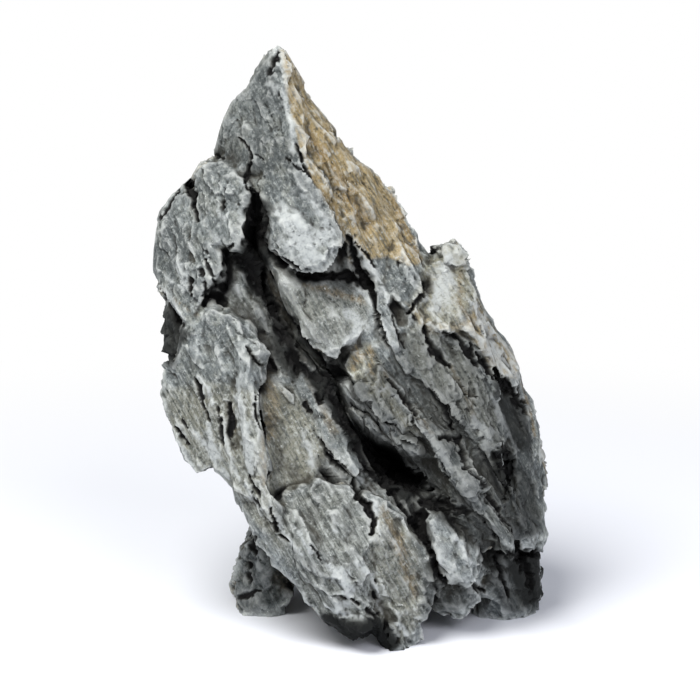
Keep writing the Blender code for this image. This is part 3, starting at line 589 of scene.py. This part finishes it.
# Faces where thin layers stand on edge: their outlines as they are seen, in mm.
RIBBED_FACES = {
    "toe_plate": [
        (-30.5, 46.5), (-13.5, 51.5), (1, 56), (12, 46.5), (21.5, 35.5), (31, 20), (26, 7),
        (21.5, -5.5), (12, -1), (-10, 1), (-23, 16.5), (-35.5, 38.5)],
    "left_mass": [
        (-68.5, 94), (-41.5, 94), (-34, 76.5), (-30.5, 46.5), (-37, 38.5), (-49.5, 57.5), (-57.5, 54.5),
        (-70, 73.5)],
    "under_streak": SHADES["under_streak"][1:],
    "right_foot": [
        (48.5, 31), (72, 24.5), (73.5, 1), (59.5, 1), (53, 12)],
    "right_mass": [
        (13.5, 92.5), (50, 86), (62.5, 67), (70.5, 26), (53, 32.5), (24.5, 54.5), (5.5, 81.5)],
}
print(len(OCHRE_FACES), "brown faces,", len(SHADES), "dark ones and", len(RIBBED_FACES), "ribbed ones")

# %% [markdown]
# Iron has also warmed some grey plates a little, and left the others blue-grey. This tint is weak.

# %% Warm faces
# Each: how warm, from none at 0 to full at 1, and the outline as it is seen, in mm.
WARM_FACES = {
    "middle_plate": (0.35,
        (-31, 130), (-26, 132), (-18, 126), (-7, 124), (2, 122), (8, 118), (7, 108), (-1, 102),
        (-7, 102), (-12, 95), (-15, 96), (-20, 107), (-26, 118)),
    "brown_hollow": (0.55,
        (-32, 92), (-21, 86), (-13, 77), (-9, 62), (-13, 53), (-26, 46), (-31, 58), (-34, 78)),
    "knuckle": (0.7,
        (-1, 102), (8, 103), (12, 92), (20, 77), (28, 69), (21, 70), (12, 80), (-3, 92)),
    "spike_plate": (0.8,
        (40, 145), (28, 135), (26, 127), (22, 115), (31, 109), (37, 108), (45, 117), (48, 121),
        (44, 130)),
    "right_mass": (0.4,
        (20, 113), (42, 103), (56, 77), (54, 62), (42, 73), (21, 96)),
    "left_mass": (0.5,
        (-70, 86), (-51, 89), (-34, 86), (-29, 54.5), (-23, 23), (-37, 38.5), (-49.5, 56), (-59, 54.5),
        (-68.5, 70)),
    "toe_plate": (0.3,
        (-31, 44), (-18, 47), (-13, 53), (-1, 51), (6, 42), (18, 40), (25, 31), (30, 21), (27, 7),
        (26, -2), (19, -9), (6, 0), (-9, 0), (-20, 12)),
    "toe_side": (0.5,
        (6, 42), (18, 40), (25, 31), (27, 7), (26, -2), (19, -9), (14, 0), (6, 20)),
}
print("warm faces:", ", ".join(WARM_FACES))

# %% [markdown]
# Some hollows of the plain solid are deep and narrow where the real stone shows a grey wall in a
# shallow one. They are filled in part, by a closing: a disc is pushed on from the front, and it
# can't enter a gap that is narrower than itself. The points move straight towards the eye, so
# nothing shifts in the front view.

# %% Outlines of the shallow hollows
# Each: the share that is filled, how far the disc reaches, and the outline as it is seen, in mm.
SHALLOW_HOLLOWS = {
    "brown_hollow": (0.85, 8,
        (-31, 92.5), (-19.5, 89), (-13.5, 78), (-7, 67), (-10, 56), (-23, 51.5), (-30.5, 46.5),
        (-33.5, 61), (-34, 78)),
    "upper_channel": (0.8, 8,
        (-0.5, 119), (12, 117.5), (19, 97), (12, 94), (4, 103.5)),
    "sliver_foot": (0.8, 8,
        (-13.5, 67), (-5.5, 68.5), (4, 54.5), (5.5, 48), (-4, 50), (-13.5, 57.5)),
    "cleft_wall": (0.95, 13,
        (-6, 89), (5.5, 94), (20, 81.5), (31, 61), (23, 60.5), (9, 65.5), (-0.5, 75)),
    "right_mass": (0.75, 8,
        (12, 97), (27.5, 111.5), (46.5, 103.5), (69, 68.5), (70.5, 38.5), (57.5, 29), (27.5, 46.5),
        (12, 68.5), (5.5, 89)),
    "ear_channel": (0.6, 8,
        (-30.5, 140), (-26, 130.5), (-23, 114.5), (-10, 98.5), (-4, 86), (-10, 76.5), (-19.5, 94),
        (-29, 111.5), (-41.5, 117.5), (-43.5, 135)),
}
print("shallow hollows:", ", ".join(SHALLOW_HOLLOWS))

# %% [markdown]
# The closing works on a map of heights towards the eye, with one cell a millimetre. The disc first
# spreads the high cells and then draws them in again, which leaves the narrow gaps filled. The
# brown hollow and the plate above it are smoother than the rest, so they are smoothed as well.

# %% Filling the shallow hollows
MAP_MARGIN = 30
NOTHING_THERE = -1000.0
WELL_SEEN = 0.3
WIDE_RIM = 2.5
FILLING_ROUNDS = 12
SMOOTHING_ROUNDS, SMOOTHING = 70, 0.8


def closed(heights, reach):
    """A height map with the gaps filled that a disc of this reach can't enter."""
    steps = range(-reach, reach + 1)
    disc = [(i, j) for i in steps for j in steps if i * i + j * j <= reach * reach]
    for pick in (np.maximum, np.minimum):
        heights = pick.reduce([np.roll(heights, move, (0, 1)) for move in disc])
    return heights


near_eye = points @ np.array(TO_EYE) / MM
cells = np.array((points[:, 0] / MM, points @ np.array(TO_EYE.cross(Vector((1, 0, 0)))) / MM))
cells = np.round(cells - cells.min(axis=1, keepdims=True)).astype(int) + MAP_MARGIN
heights = np.full(cells.max(axis=1) + MAP_MARGIN, NOTHING_THERE)
np.maximum.at(heights, tuple(cells[:, seen > WELL_SEEN]), near_eye[seen > WELL_SEEN])
shallow = np.zeros(len(points))
filled = shallow
for strength, reach, *corners in SHALLOW_HOLLOWS.values():
    share = strength * inside(corners, WIDE_RIM)
    gap = np.maximum(closed(heights, reach)[tuple(cells)] - near_eye, 0)
    shallow = np.maximum(shallow, share)
    filled = np.maximum(filled, gap * share)
filled = spread(filled, ends, FILLING_ROUNDS)
points += filled[:, None] * np.array(TO_EYE) * MM
smooth_faces = (SHALLOW_HOLLOWS["brown_hollow"][2:], WARM_FACES["middle_plate"][1:])
smooth = sum(inside(corners, WIDE_RIM) for corners in smooth_faces)
points += (spread(points, ends, SMOOTHING_ROUNDS) - points) * (SMOOTHING * smooth)[:, None]
filled_part = round(100 * (filled > 1).mean(), 1)
print("filled by up to", filled.max().round(1), "mm, and by over 1 mm on", filled_part, "%")

# %% [markdown]
# The plates of the front are calmer than its dark recesses, the broken sides and the back, and slow
# noises leave some parts wilder than others.

# %% Calm and rough parts
SHADE_RIM = 1.5
SHADED_BEHIND, SHADE_BEHIND = (26, 8.8, 0.12, 0.35), 0.5
WILD_FRONT, WILD_BACK = (17, 0, -0.35, 0.45), (30, 6.6, -0.2, 0.35)
LEAST_IN_FRONT, MORE_IN_FRONT = 0.45, 1.1
LEAST_BEHIND, MORE_BEHIND = 0.4, 0.95
LESS_IF_SMOOTH = 0.5

# The outlines of SHADES add painted shade in front; behind, a slow noise adds dark patches.
shade = over_faces(picked(*SHADED_BEHIND) * behind * SHADE_BEHIND, SHADES, SHADE_RIM)
calm = seen * (1 - shade)
wild_front, wild_back = picked(*WILD_FRONT), picked(*WILD_BACK)
rough = (LEAST_IN_FRONT + MORE_IN_FRONT * wild_front) * (1 - LESS_IF_SMOOTH * smooth) * in_front
rough += (LEAST_BEHIND + MORE_BEHIND * wild_back) * behind
print("roughness from", rough.min().round(2), "to", rough.max().round(2))

# %% [markdown]
# The broken surface is a mass of small shards, each at its own level and with its own tilt, with a
# sharp step to the next. Voronoi cells give just that: a level and a slope that come from the
# cell's middle. There are four sizes, from plates as wide as a thumb down to flakes of a millimetre
# or two, and the large ones show on the wild parts alone.

# %% Shards
# Each: its size in mm across the layers, in them and along the grain, and its depth if calm or wild.
SHARDS = (
    ((11, 13, 30), 0, 2.6),
    ((6, 6, 14), 0.4, 1.2),
    ((2.6, 4, 7), 0.2, 0.4),
    ((1.4, 2, 4), 0.1, 0.15),
)
# The middles are spread this far apart, so that no two cells draw the same numbers.
SPREAD_OUT = 57.3
LEVEL, SLOPE = 0.45, 0.9


def shard_levels(places):
    levels = []
    for place in places.tolist():
        middle = noise.voronoi(place)[1][0]
        own = noise.cell_vector(middle * SPREAD_OUT)
        levels.append(own.x * LEVEL + (Vector(place) - middle).dot(own.yzx) * SLOPE)
    return np.array(levels)


relief = np.zeros(len(points))
for sizes, calm_depth, wild_depth in SHARDS:
    depth = (calm_depth * calm + wild_depth * (1 - calm)) * rough
    relief += depth * shard_levels(in_layers(bent / MM, sizes))
print("shards move the skin by", round(relief.std(), 2), "mm")

# %% [markdown]
# Where the layers end at the surface, their hard sheets stand out as thin ribs, one or a few
# millimetres apart, with sharp grooves between them. A noise that changes fast across the layers and
# slowly along them, folded at zero, gives such ribs. They show on some faces and not on others.

# %% Ribs
RIBS = (((3.4, 26, 70), 1.0), ((1.5, 20, 50), 0.6))
RIBBED_PARTS = (24, 3.3, -0.1, 0.3)
FEWER_IN_FRONT = 0.8
FRONT_RIBS = 0.45
BEND_LEFT = 0.3
SHARPNESS, DEPTH_SHARE = 4, 0.5

ribbed = picked(*RIBBED_PARTS) * (1 - FEWER_IN_FRONT * seen)
for corners in RIBBED_FACES.values():
    ribbed = np.maximum(ribbed, FRONT_RIBS * inside(corners))
straight = points + (bent - points) * BEND_LEFT
grooves = np.zeros(len(points))
for sizes, depth in RIBS:
    groove = 1 - np.abs(noise_values(in_layers(straight / MM, sizes))) * SHARPNESS
    grooves = np.maximum(grooves, groove * depth)
    relief -= depth * DEPTH_SHARE * np.clip(groove, 0, 1) * ribbed
# The grooves mask later darkens the rib grooves as painted shade.
grooves = np.clip(grooves, 0, 1) * ribbed
print("ribs on", round(100 * (ribbed > 0.5).mean()), "% of the points")

# %% [markdown]
# Thin cracks follow the layers all round. They are cut in and painted black, as shade. They open
# where one noise runs near zero, and only in the parts that a slower noise picks. In front, where
# the real cracks are drawn, they are weaker, and so they are where the back is calm.

# %% Cracks
CRACK_SIZES = (5.5, 9, 34)
CRACK_SHARE = 0.045
CRACK_DEPTH, CRACK_BLACK = 1.5, 0.8
CRACKED_PARTS = (13, 7.7, 0.1, 0.35)
WEAKER_IN_FRONT = 0.6
LEAST_IF_CALM, MORE_IF_WILD = 0.3, 0.7

thin_line = 1 - np.abs(noise_values(in_layers(bent / MM, CRACK_SIZES))) / CRACK_SHARE
opened = picked(*CRACKED_PARTS) * np.clip(thin_line, 0, 1)
strength = LEAST_IF_CALM + MORE_IF_WILD * np.maximum(wild_back, seen)
opened *= (1 - WEAKER_IN_FRONT * seen) * strength
relief -= CRACK_DEPTH * opened
# Painted shade: the thin cracks are coloured black.
dark = CRACK_BLACK * opened
print("cracks on", round(100 * (opened > 0.3).mean(), 1), "% of the points")

# %% [markdown]
# The back and the sides have the same marks as the front, in places that slow noises pick: pale
# calcite in long patches, iron that soaked in, and brown soil that dried in the hollows.

# %% Marks of the back and the sides
CALCITE_SIZES, CALCITE_SHIFT, CALCITE_PARTS = (7, 9, 22), 5.5, (0.2, 0.4)
STAINED, OCHRE, WARMED = (15, 11.1, 0.12, 0.4), (40, 2.2, 0.1, 0.3), (30, 4.4, -0.1, 0.3)
PALE_BEHIND, STAIN_BEHIND, OCHRE_BEHIND, WARM_BEHIND = 0.6, 0.7, 0.6, 0.5

calcite = noise_values(in_layers(bent / MM, CALCITE_SIZES) + CALCITE_SHIFT)
pale = step(calcite, *CALCITE_PARTS) * behind * PALE_BEHIND
stain = picked(*STAINED) * behind * STAIN_BEHIND
ochre = picked(*OCHRE) * behind * OCHRE_BEHIND
warm = picked(*WARMED) * behind * WARM_BEHIND
print("behind: pale", pale.mean().round(3), "stain", stain.mean().round(3))

# %% [markdown]
# Now the strokes and outlines of the front are laid on, each over what is there. A stroke is full
# before its middle line: its strength is raised by a factor and cut off at 1. So a crack has a flat
# floor, and its black reaches a little up its walls.

# %% Marks of the front
CUT_FULL, BLACK_FULL, PALE_FULL, STAIN_FULL = 1.6, 2.2, 1.5, 1.6
PALE_RISE = 0.4
OCHRE_RIM = 1.0

for depth, *stations in CRACKS.values():
    near = stroke(stations)
    relief -= depth * np.minimum(near * CUT_FULL, 1)
    # The crack's black is painted shade.
    dark = np.maximum(dark, np.minimum(near * BLACK_FULL, 1))
for height, *stations in PALE_MARKS.values():
    near = stroke(stations)
    relief += height * PALE_RISE * np.sqrt(near)
    pale = np.maximum(pale, np.minimum(near * PALE_FULL, 1))
for strength, *stations in STAINS.values():
    stain = np.maximum(stain, strength * np.minimum(stroke(stations) * STAIN_FULL, 1))
warm = over_faces(warm, WARM_FACES)
ochre = over_faces(ochre, OCHRE_FACES, OCHRE_RIM)
pale *= 1 - dark
print("dark", dark.mean().round(3), "pale", pale.mean().round(3), "stain", stain.mean().round(3))

# %% [markdown]
# Now the skin moves: every point goes in or out along its normal, and none goes below the floor.
# What then stands beyond the outline of the ear or the peak moves most of the way back to it.

# %% The skin takes its relief
EDGE_TAKEN = 0.8
# Above and below an edge the outline is this far off in mm, so that nothing there moves.
NO_EDGE = 1000
# Edges of the outline: on the left (-1) or on the right (1), and where it runs, as (up, across).
EDGES = {
    "outer_ear": (-1,
        (118, -76), (120, -73), (128, -74.5), (139, -74), (148, -72.5), (153, -71), (159, -67),
        (163, -63), (166, -59), (170, -57), (178, -56)),
    "peak_left": (-1,
        (176, -51), (182.5, -49), (189, -47), (196, -43.5), (203, -38.5), (209, -33), (217, -30)),
    "peak_right": (1,
        (165, 13), (170, 7.5), (176, 2), (184, -4), (191.5, -11.5), (199, -16), (206.5, -21),
        (217, -27)),
}

points += facing * (relief * MM)[:, None]
points[:, 2] = np.maximum(points[:, 2], 0)
height = drawn_height(points)
for name, (side, *corners) in EDGES.items():
    edge = np.interp(height, *zip(*corners), side * NO_EDGE, side * NO_EDGE)
    beyond = np.maximum((points[:, 0] / MM + DRAWING_SHIFT[0] - edge) * side, 0)
    points[:, 0] -= side * beyond * EDGE_TAKEN * MM
    print(name, "moves in by up to", (beyond.max() * EDGE_TAKEN).round(1), "mm")
stone.data.vertices.foreach_set("co", points.astype(np.float32).ravel())
print("relief from", relief.min().round(1), "to", relief.max().round(1), "mm")

# %% [markdown]
# The marks stay with their points as attributes of the mesh, and the material reads them by name.
# An attribute needs no unwrapping, and goes with the mesh when its faces are made fewer.

# %% The marks as attributes


def add_attribute(mesh, name, values):
    mesh.attributes.new(name, "FLOAT", "POINT").data.foreach_set("value", values.astype(np.float32))


# dark and shade carry painted shade, of cracks and of faces in shade; shallow eases that of hollows.
marks = {"dark": dark, "pale": pale, "stain": stain, "ochre": ochre, "shade": shade, "warm": warm,
         "ribbed": ribbed, "grooves": grooves, "shallow": shallow}
for name, values in marks.items():
    add_attribute(stone.data, name, values)
stone.data.update()
print("marks:", ", ".join(marks))

# %% [markdown]
# The skin has more faces than it needs. Where it is nearly flat they are merged, and the steps keep
# theirs.

# %% Fewer faces
MOST_TRIANGLES = 190000

faces_now = 2 * len(stone.data.polygons)
if faces_now > MOST_TRIANGLES:
    fewer = stone.modifiers.new("fewer", "DECIMATE")
    fewer.ratio = MOST_TRIANGLES / faces_now
    apply_modifiers(stone)
print("stone:", len(stone.data.polygons), "faces")

# %% [markdown]
# A real stone is one closed body, but a voxel remesh can leave specks of skin that hang loose beside
# it, each a face or two. No eye finds them, and a mesh is still cleaner without. Whatever can't be
# reached from the highest point by walking along the edges is deleted.

# %% Loose specks
bm = bmesh.new()
bm.from_mesh(stone.data)
reached, ahead = set(), [max(bm.verts, key=lambda vert: vert.co.z)]
while ahead:
    vert = ahead.pop()
    if vert not in reached:
        reached.add(vert)
        ahead += [edge.other_vert(vert) for edge in vert.link_edges]
specks = [vert for vert in bm.verts if vert not in reached]
print("points in loose specks:", len(specks))
bmesh.ops.delete(bm, geom=specks, context="VERTS")
bm.to_mesh(stone.data)
bm.free()

# %% [markdown]
# Faces that meet at more than a small angle keep a sharp edge between them, as in a stone that was
# broken and not rolled in a river. The others are shaded smoothly.

# %% Edges that look sharp
SHARP_FROM = math.radians(24)

stone.data.shade_smooth()
stone.data.set_sharp_from_angle(angle=SHARP_FROM)
print("sharp from", round(math.degrees(SHARP_FROM)), "degrees")

# %% [markdown]
# Hollows and creases are painted dark, as shade, and edges and crests are painted pale, partly as
# rubbed wear and partly as a painted highlight. Both follow the shape, so they are measured on it:
# the share of rays from each point that soon meet the stone again, and how far each point stands
# out from the mean of its neighbours.

# %% Hollows and edges
HOLLOW_RAYS, RAY_START, HOLLOW_REACH = 14, 0.25 * MM, 22 * MM
FAR_COUNTS_LESS = 0.6
HOLLOW_ROUNDS, FINE_ROUNDS, BROAD_ROUNDS = 1, 3, 24
FINE, BROAD = (0.08, 0.35), (0.1, 1.0)


def hollow_share(tree, points, facing):
    """The share of the rays from each point that soon meet the stone again."""
    golden = math.pi * (3 - math.sqrt(5))
    around = []
    for i in range(HOLLOW_RAYS):
        rise = math.sqrt(1 - (i + 0.5) / HOLLOW_RAYS)
        side = math.sqrt(1 - rise * rise)
        around.append(Vector((math.cos(i * golden) * side, math.sin(i * golden) * side, rise)))
    shares = []
    for place, way in zip(points.tolist(), facing.tolist()):
        way = Vector(way)
        start = Vector(place) + way * RAY_START
        turn = way.to_track_quat("Z", "Y").to_matrix()
        met = 0
        for ray in around:
            far = tree.ray_cast(start, turn @ ray, HOLLOW_REACH)[3]
            if far is not None:
                met += 1 - far / HOLLOW_REACH * FAR_COUNTS_LESS
        shares.append(met / HOLLOW_RAYS)
    return np.array(shares)


points = read(stone.data, "co")
ends = edge_ends(stone.data)
facing = read(stone.data, "normal")
hollow = spread(hollow_share(as_tree(stone.data, points), points, facing), ends, HOLLOW_ROUNDS)
fine_edge = ((points - spread(points, ends, FINE_ROUNDS)) * facing).sum(axis=1) / MM
broad_edge = ((points - spread(points, ends, BROAD_ROUNDS)) * facing).sum(axis=1) / MM
# hollow, crease and groove drive painted shade; edge and crest drive pale rubbed edges and a painted
# highlight.
shapes = {"hollow": hollow, "edge": step(fine_edge, *FINE), "crease": step(-fine_edge, *FINE),
          "crest": step(broad_edge, *BROAD), "groove": step(-broad_edge, *BROAD)}
for name, values in shapes.items():
    add_attribute(stone.data, name, values)
    print(name, np.percentile(values, (5, 50, 95)).round(2))

# %% [markdown]
# Colours are given as they look on a screen and turned into the linear light that the renderer
# counts in. One function adds a shader node, with its settings and its values or links, and one
# clears the nodes that Blender puts into a new material or world.

# %% Colours and nodes
WHITE = "#FFFFFF"
SOFTLY = {"interpolation_type": "SMOOTHSTEP"}


def from_hex(code):
    """An sRGB hex colour as the linear colour that Blender works in."""
    parts = [int(code[i:i + 2], 16) / 255 for i in (1, 3, 5)]
    # The curve of a screen: straight in the darks, and a power above them.
    linear = [p / 12.92 if p <= 0.04045 else ((p + 0.055) / 1.055) ** 2.4 for p in parts]
    return (*linear, 1)


def add_node(tree, kind, settings=None, inputs=None):
    """Adds a shader node, with its settings, and its inputs as values or as links."""
    made = tree.nodes.new("ShaderNode" + kind)
    for name, value in (settings or {}).items():
        setattr(made, name, value)
    for name, value in (inputs or {}).items():
        if isinstance(value, bpy.types.NodeSocket):
            tree.links.new(value, made.inputs[name])
        else:
            made.inputs[name].default_value = value
    return made


def empty_tree(owner):
    owner.use_nodes = True
    owner.node_tree.nodes.clear()
    return owner.node_tree


print("#808080 is", round(from_hex("#808080")[0], 3), "in linear light")

# %% [markdown]
# The stone itself is a fine-grained limestone, blue-grey from a little carbon and clay, crossed by
# calcite as white threads and specks, and pitted with black points. Six noises in the stone's own
# directions stand for these. Its patches, blotches, streaks and scratches are drawn as large as they
# are. Real grains and specks are under half a millimetre and wouldn't show in the render, so they
# are drawn one to two millimetres wide.

# %% Patterns in the stone
# Each: its size in mm across the layers, in them and along the grain, its detail and roughness.
PATTERNS = {
    "patches": ((16, 16, 40), 4, 0.6),
    "blotches": ((7, 7, 7), 6, 0.65),
    "streaks": ((1.1, 3, 9), 7, 0.7),
    "scratches": ((0.8, 6, 18), 4, 0.6),
    "grains": ((1.6, 1.6, 1.6), 6, 0.75),
    "specks": ((1.1, 1.1, 1.8), 3, 0.6),
}
limestone = bpy.data.materials.new("weathered_limestone")
tree = empty_tree(limestone)
place = add_node(tree, "TexCoord").outputs["Object"]
source = {}
for name, (sizes, detail, roughness) in PATTERNS.items():
    turned = add_node(tree, "Mapping", {"vector_type": "TEXTURE"}, {
        "Vector": place, "Rotation": STONE_TURN.to_euler(), "Scale": [s * MM for s in sizes]})
    source[name] = add_node(tree, "TexNoise", {}, {
        "Vector": turned.outputs[0], "Scale": 1, "Detail": detail, "Roughness": roughness}).outputs[0]
for name in (*marks, *shapes):
    source[name] = add_node(tree, "Attribute", {"attribute_name": name}).outputs["Fac"]
print("the material reads", ", ".join(source))

# %% [markdown]
# The colour is built in coats: first the rock, then the iron and soil that soaked in, then the dark
# and pale of its grain, then calcite and pale edges, partly rubbed and partly a painted highlight,
# and last the black of cracks, creases, hollows and faces in shade, which is painted shade. Each
# coat lies over the ones before, where its sources say so: a source goes from one share at its low
# value to another at its high one, and several are multiplied.

# %% Coats of colour
# Each: its colour, then its sources, as (name, low, high, share at low, share at high).
BARE_ROCK = "#515657"
COATS = (
    # Rock, iron and soil.
    ("#757B7C", ("patches", 0.35, 0.65, 0, 1)),
    ("#85826F", ("warm", 0, 1, 0, 1)),
    ("#82857F", ("blotches", 0.48, 0.62, 0, 0.6)),
    ("#3D4244", ("blotches", 0.46, 0.34, 0, 0.5)),
    ("#92815C", ("ochre", 0, 1, 0, 1), ("blotches", 0.2, 0.6, 0.7, 1)),
    ("#7F6A43", ("stain", 0, 1, 0, 0.7)),
    # The grain, dark and pale.
    ("#3F4444", ("streaks", 0.54, 0.38, 0, 0.7)),
    ("#9DA3A3", ("streaks", 0.54, 0.66, 0, 0.5)),
    ("#2E3232", ("ribbed", 0, 1, 0, 1), ("scratches", 0.52, 0.42, 0, 0.65)),
    ("#A5A9A8", ("ribbed", 0, 1, 0, 1), ("scratches", 0.52, 0.62, 0, 0.5)),
    ("#AFB4B2", ("grains", 0.52, 0.64, 0, 0.5)),
    ("#232726", ("grains", 0.47, 0.36, 0, 0.7)),
    ("#141615", ("specks", 0.35, 0.3, 0, 0.6)),
    ("#D0D3D0", ("specks", 0.68, 0.72, 0, 0.7)),
    # Calcite, a few painted highlights, and pale edges and crests, partly rubbed and partly a painted
    # highlight.
    ("#A9AEAF", ("pale", 0, 1, 0, 0.8), ("grains", 0.36, 0.54, 0.55, 1)),
    ("#C4C8C6", ("edge", 0, 1, 0, 1), ("blotches", 0.3, 0.6, 0.1, 0.5)),
    ("#B9BDBD", ("crest", 0, 1, 0, 0.2)),
    # Painted shade: the black of creases, grooves, hollows, cracks and faces in shade.
    ("#151615", ("crease", 0, 1, 0, 0.65)),
    ("#2B2720", ("groove", 0, 1, 0, 0.5)),
    ("#1C1E1D", ("grooves", 0.6, 1, 0, 0.6)),
    ("#3A372E", ("hollow", 0.08, 0.28, 0, 0.5)),
    ("#121413", ("shade", 0, 1, 0, 1)),
    ("#0A0A0A", ("dark", 0, 1, 0, 1)),
    ("#080808", ("hollow", 0.2, 0.5, 0, 1), ("shallow", 0, 1, 1, 0.2)),
)
colour = from_hex(BARE_ROCK)
for code, *rules in COATS:
    share = 1.0
    for name, low, high, least, most in rules:
        ranged = add_node(tree, "MapRange", SOFTLY, {
            "Value": source[name], "From Min": low, "From Max": high, "To Min": least, "To Max": most})
        both = {0: share, 1: ranged.outputs[0]}
        share = add_node(tree, "Math", {"operation": "MULTIPLY"}, both).outputs[0]
    # A Mix node of colours takes its share at socket 0 and its two colours at 6 and 7.
    laid = {0: share, 6: colour, 7: from_hex(code)}
    colour = add_node(tree, "Mix", {"data_type": "RGBA"}, laid).outputs[2]
print(len(COATS), "coats over the bare rock")

# %% [markdown]
# The surface is dry, matt and a little gritty: light spreads on it evenly, and only the grain that is
# finer than a face comes from a bump. Bare rock is rough, so 0.72. Its index of refraction is about
# that of glass, 1.5, but pores and grit swallow most of the mirror light, so that is kept low.

# %% The dry, gritty surface
ROUGHNESS, IOR, MIRROR_LIGHT = 0.72, 1.5, 0.2
GRIT_HEIGHT, GRIT_STRENGTH = 0.3 * MM, 0.7

grit = {0: source["streaks"], 1: source["grains"]}
grit = add_node(tree, "Math", {"operation": "ADD"}, grit).outputs[0]
bump = add_node(tree, "Bump", {}, {
    "Strength": GRIT_STRENGTH, "Distance": GRIT_HEIGHT, "Height": grit}).outputs[0]
surface = add_node(tree, "BsdfPrincipled", {}, {
    "Base Color": colour, "Roughness": ROUGHNESS, "IOR": IOR, "Specular IOR Level": MIRROR_LIGHT,
    "Normal": bump})
add_node(tree, "OutputMaterial", {}, {"Surface": surface.outputs[0]})
stone.data.materials.clear()
stone.data.materials.append(limestone)
print("nodes:", len(tree.nodes))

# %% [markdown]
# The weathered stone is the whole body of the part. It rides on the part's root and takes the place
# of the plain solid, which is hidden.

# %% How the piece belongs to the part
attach(stone, "root")
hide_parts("stone")
print(stone.name, "rides on the root and replaces the plain solid")

# %% [markdown]
# The stone stands on a pale matt board that takes its shadow. The board fades into white from a
# hand's width off the stone outwards, as a photographer's sweep does.

# %% Floor
FLOOR_RADIUS = 3.0
WHITE_FROM, WHITE_AT = 0.16, 0.42
BOARD, BOARD_ROUGHNESS = "#E3E6EE", 0.6

bm = bmesh.new()
bmesh.ops.create_circle(bm, cap_ends=True, segments=64, radius=FLOOR_RADIUS)
floor = mesh_object("floor", bm)
board_material = bpy.data.materials.new("pale_matt_board")
tree = empty_tree(board_material)
place = add_node(tree, "TexCoord").outputs["Object"]
far = add_node(tree, "VectorMath", {"operation": "LENGTH"}, {0: place}).outputs["Value"]
board = add_node(tree, "BsdfPrincipled", {}, {
    "Base Color": from_hex(BOARD), "Roughness": BOARD_ROUGHNESS}).outputs[0]
white = add_node(tree, "Emission", {}, {"Color": from_hex(WHITE)}).outputs[0]
faded = add_node(tree, "MapRange", SOFTLY, {
    "Value": far, "From Min": WHITE_FROM, "From Max": WHITE_AT}).outputs[0]
mixed = add_node(tree, "MixShader", {}, {0: faded, 1: board, 2: white}).outputs[0]
add_node(tree, "OutputMaterial", {}, {"Surface": mixed})
floor.data.materials.append(board_material)
floor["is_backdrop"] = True
print("the board is white from", WHITE_AT, "m outwards")

# %% [markdown]
# Light in a small studio: a white room that lights the stone softly from all round, and that the
# camera sees as plain white.

# %% Light of the room
ROOM, ROOM_STRENGTH = "#F2F5FA", 0.35

world = bpy.data.worlds.new("studio")
bpy.context.scene.world = world
tree = empty_tree(world)
straight_to_camera = add_node(tree, "LightPath").outputs["Is Camera Ray"]
room = add_node(tree, "Background", {}, {
    "Color": from_hex(ROOM), "Strength": ROOM_STRENGTH}).outputs[0]
white = add_node(tree, "Background", {}, {"Color": from_hex(WHITE)}).outputs[0]
mixed = add_node(tree, "MixShader", {}, {0: straight_to_camera, 1: room, 2: white}).outputs[0]
add_node(tree, "OutputWorld", {}, {"Surface": mixed})
print("the room lights the stone at", ROOM_STRENGTH)

# %% [markdown]
# Two broad round lamps, as soft boxes are: the main one from the front and above, a little to the
# left, and a weak one from the right that keeps the shadows from going black.

# %% Lamps
STONE_MIDDLE = Vector((0, 0, 0.103))
LAMP_SIZE = 0.8
# Each: its place in m, its power in watts and its tint.
LAMPS = {
    "key": ((-0.45, -0.5, 1.25), 25, "#FFFDF8"),
    "fill": ((0.5, -1.0, 0.9), 9, "#FBFAFF"),
}

for name, (place, power, tint) in LAMPS.items():
    light = bpy.data.lights.new(name, "AREA")
    light.shape = "DISK"
    light.size = LAMP_SIZE
    light.energy = power
    light.color = from_hex(tint)[:3]
    towards = STONE_MIDDLE - Vector(place)
    lamp = add_object(name, light)
    lamp.location = place
    lamp.rotation_euler = towards.to_track_quat("-Z", "Y").to_euler()
    print(name, "lamp", round(towards.length, 2), "m away,", power, "W")

# %% [markdown]
# The camera looks down at the stone by as much as the photo's does. It is a long lens from far off,
# so upright edges hardly lean towards each other.

# %% Camera
CAMERA_AWAY, LENS = 1.4, 191

camera = add_object("camera", bpy.data.cameras.new("camera"))
camera.data.lens = LENS
camera.location = STONE_MIDDLE + TO_EYE * CAMERA_AWAY
camera.rotation_euler = (math.pi / 2 - VIEW_TILT, 0, 0)
bpy.context.scene.camera = camera
bpy.context.scene.view_settings.view_transform = "Standard"
print("camera", CAMERA_AWAY, "m away,", round(math.degrees(VIEW_TILT)), "degrees above the floor")

# %% [markdown]
# Last, the size of the finished stone, without the board, is printed in mm.

# %% Finish
low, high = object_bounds()
print("visual, mm:", [round((b - a) / MM, 1) for a, b in zip(low, high)])
